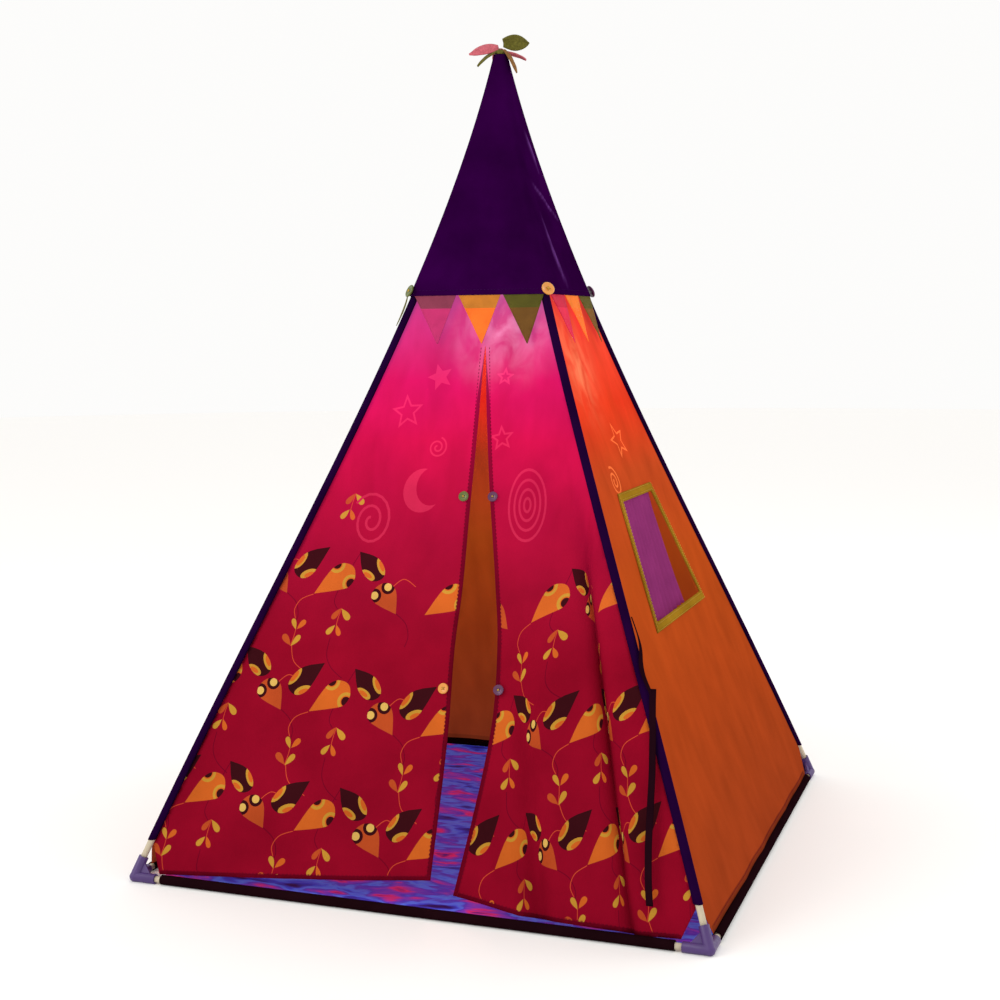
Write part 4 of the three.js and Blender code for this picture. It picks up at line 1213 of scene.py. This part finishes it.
def add_straps():
    """The two tie straps, each from its top to its foot with a slight bow and twist."""
    for side, offset in (("right", 0.0100), ("left", -0.0096)):
        low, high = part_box(f"tie_strap_{side}")
        corners = node_points(f"tie_strap_{side}")
        top_u = corners[corners[:, 2] > high.z - 0.008][:, 0].mean()
        foot_u = corners[corners[:, 2] < low.z + 0.008][:, 0].mean()
        t = np.linspace(0, 1, 46)
        z = high.z - 0.002 + (low.z - high.z + 0.002) * t
        bow = 0.004 * np.sin(2 * math.pi * t) * t
        lift = 0.0012 * np.sin(5 * math.pi * t) * np.sign(offset)
        centres = face_point(top_u + (foot_u - top_u) * t + bow, z, offset + np.abs(lift) * np.sign(offset))
        sides = np.tile((1.0, 0, 0), (len(t), 1))
        twist = 9 * np.sin(4.2 * t + 0.6)
        strap_piece(f"tie_strap_{side}_webbing", centres, sides, twist, f"strap_{side}", f"tie_strap_{side}")


def add_strap_root():
    """The right strap's upper end: it is sewn to the leg's sleeve, and crosses over the leg to the front."""
    z = np.linspace(0.475, 0.362, 26)
    t = np.linspace(0, 1, 26)
    angle = np.radians(8 - 112 * smoothstep(t * 1.25 - 0.2))
    reach = SLEEVE_RADIUS + 0.0022 + 0.004 * np.sin(math.pi * t)
    half = inset(z)
    centres = np.stack([half + reach * np.cos(angle), -half + reach * np.sin(angle) - 0.001 * t, z], 1)
    strap_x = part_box("tie_strap_right")[0].x + STRAP_WIDTH / 2
    centres[:, 0] += (strap_x - centres[-1, 0]) * smoothstep(t * 2 - 1)
    sides = np.stack([-np.sin(angle), np.cos(angle), 0 * angle], 1)
    sides[:, 2] = -0.15
    sides /= np.linalg.norm(sides, axis=1)[:, None]
    strap_piece("tie_strap_right_root", centres, -sides, 0 * angle, "root", width=0.0075)


# ---- Hard parts -----------------------------------------------------------------------------------
# Each button's colour and the body that it is sewn to.
BUTTONS = {
    **{f"cap_button_{colour}": (colour, "root") for colour in BUTTON_TONES},
    "door_button_green": ("green", "door_left"),
    "door_button_orange": ("orange", "door_left"),
    "door_button_purple_upper": ("purple", "door_right"),
    "door_button_purple_lower": ("purple", "door_right"),
}


def finish_node(name, look):
    """A CAD piece with a better finish: smooth where it is round, with slightly eased edges."""
    node = NODES[name]
    node.data.materials.clear()
    node.data.materials.append(look)
    node.data.polygons.foreach_set("use_smooth", [True] * len(node.data.polygons))
    weld = node.modifiers.new("weld", "WELD")
    weld.merge_threshold = 0.00002
    bevel = node.modifiers.new("edges", "BEVEL")
    bevel.width = 0.00035
    bevel.segments = 2
    bevel.limit_method = "ANGLE"
    bevel.angle_limit = math.radians(40)
    bevel.harden_normals = True


def add_hard_parts():
    for corner in CORNERS:
        finish_node(f"corner_connector_{corner}", LOOKS["connector"])
        finish_node(f"leg_lower_{corner}", LOOKS["tube"])
        finish_node(f"leg_upper_{corner}", LOOKS["tube"])
    for side in SIDES:
        finish_node(f"base_tube_{side}", LOOKS["tube"])
    finish_node("top_hub", LOOKS["connector"])
    finish_node("lamp_housing", LOOKS["lamp"])
    finish_node("lamp_lens", LOOKS["lens"])
    finish_node("lamp_circuit", LOOKS["circuit"])
    finish_node("lamp_strap", LOOKS["strap"])
    for name, (colour, _) in BUTTONS.items():
        finish_node(name, LOOKS["button_" + colour])


def add_button_threads():
    """Crossed thread through each button's four holes."""
    for name, (colour, body) in BUTTONS.items():
        centre, (first, second, normal), spans = principal(name)
        if np.dot(normal[:2], centre[:2]) < 0:
            normal = -normal
        if name.startswith("door") and normal[1] > 0:
            normal = -normal
        radius = max(spans) / 2
        reach = radius * 0.33
        crossing = []
        for a, b in ((1, 1), (1, -1)):
            t = np.linspace(-1, 1, 9)[:, None]
            line = (first * a + second * b) / math.sqrt(2)
            crossing.append(centre + line * reach * t + normal * (0.0011 + 0.0008 * (1 - t**2)))
        thread = stitches(name + "_thread", crossing, LOOKS["gold_thread"], pitch=2 * reach,
                          length=1.7 * reach, width=radius * 0.16)
        add_trim(thread, body)


def add_button_tail():
    """A narrow felt tail that hangs from the green cap button."""
    centre = principal("cap_button_green")[0]
    t = np.linspace(0, 1, 18)
    out = np.array([-0.72, -0.69, 0])
    path = centre + np.outer(0.004 + 0.022 * t**1.3, out) + np.outer(-0.010 - 0.052 * t, (0, 0, 1))
    side = np.array([0.69, -0.72, 0])
    half = 0.0030 * np.sin(math.pi * np.clip(t * 0.9 + 0.1, 0, 1)) + 0.0004
    shares = np.linspace(-1, 1, 5)
    points = path[:, None] + np.multiply.outer(half[:, None] * shares[None], side)
    add_trim(thicken(grid("cap_button_tail", points[::-1], LOOKS["olive"]), 0.0010, 0.0))


# ---- Studio ---------------------------------------------------------------------------------------
FLOOR_RADIUS = 16


def add_lamp(kind, name, place, power, spread, tone=(1.0, 1.0, 1.0)):
    """A soft lamp; an area lamp faces the middle of the tent."""
    data = bpy.data.lights.new(name, kind)
    data.energy = power
    data.color = tone
    setattr(data, "size" if kind == "AREA" else "shadow_soft_size", spread)
    lamp = bpy.data.objects.new(name, data)
    lamp.location = place
    lamp.rotation_mode = "QUATERNION"
    lamp.rotation_quaternion = (Vector(place) - Vector((0, 0, 0.6))).to_track_quat("Z", "Y")
    bpy.context.scene.collection.objects.link(lamp)


def add_studio():
    sides = 64
    floor_look = Look("floor", Roughness=0.9, Specular_IOR_Level=0.05, Emission_Strength=0.1)
    floor_look.done(Base_Color=(0.90, 0.885, 0.865, 1), Emission_Color=(1, 0.99, 0.97, 1))
    angle = np.linspace(0, 2 * math.pi, sides, endpoint=False)
    ring = [(FLOOR_RADIUS * math.cos(a), FLOOR_RADIUS * math.sin(a), 0) for a in angle]
    new_piece("floor", ring, [tuple(range(sides))], floor_look.material)
    world = bpy.data.worlds.new("studio")
    world.use_nodes = True
    background = world.node_tree.nodes["Background"]
    background.inputs["Color"].default_value = (1.0, 0.995, 0.985, 1)
    background.inputs["Strength"].default_value = 0.98
    bpy.context.scene.world = world
    add_lamp("AREA", "key", (-2.6, -3.2, 3.4), 60, 2.4)
    add_lamp("AREA", "rim", (3.0, 2.2, 2.8), 30, 2.0)
    add_lamp("POINT", "lamp_light", (0, 0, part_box("lamp_lens")[0].z - 0.05), 2.4, 0.04, (1.0, 0.62, 0.55))
    bpy.context.scene.view_settings.view_transform = "Standard"


add_camera()
add_front()
add_sides()
add_window()
add_curtain()
add_sleeves()
add_cap()
add_bunting()
add_leaves()
add_apex_button()
add_mat()
add_straps()
add_strap_root()
add_hard_parts()
add_button_threads()
add_button_tail()
add_studio()
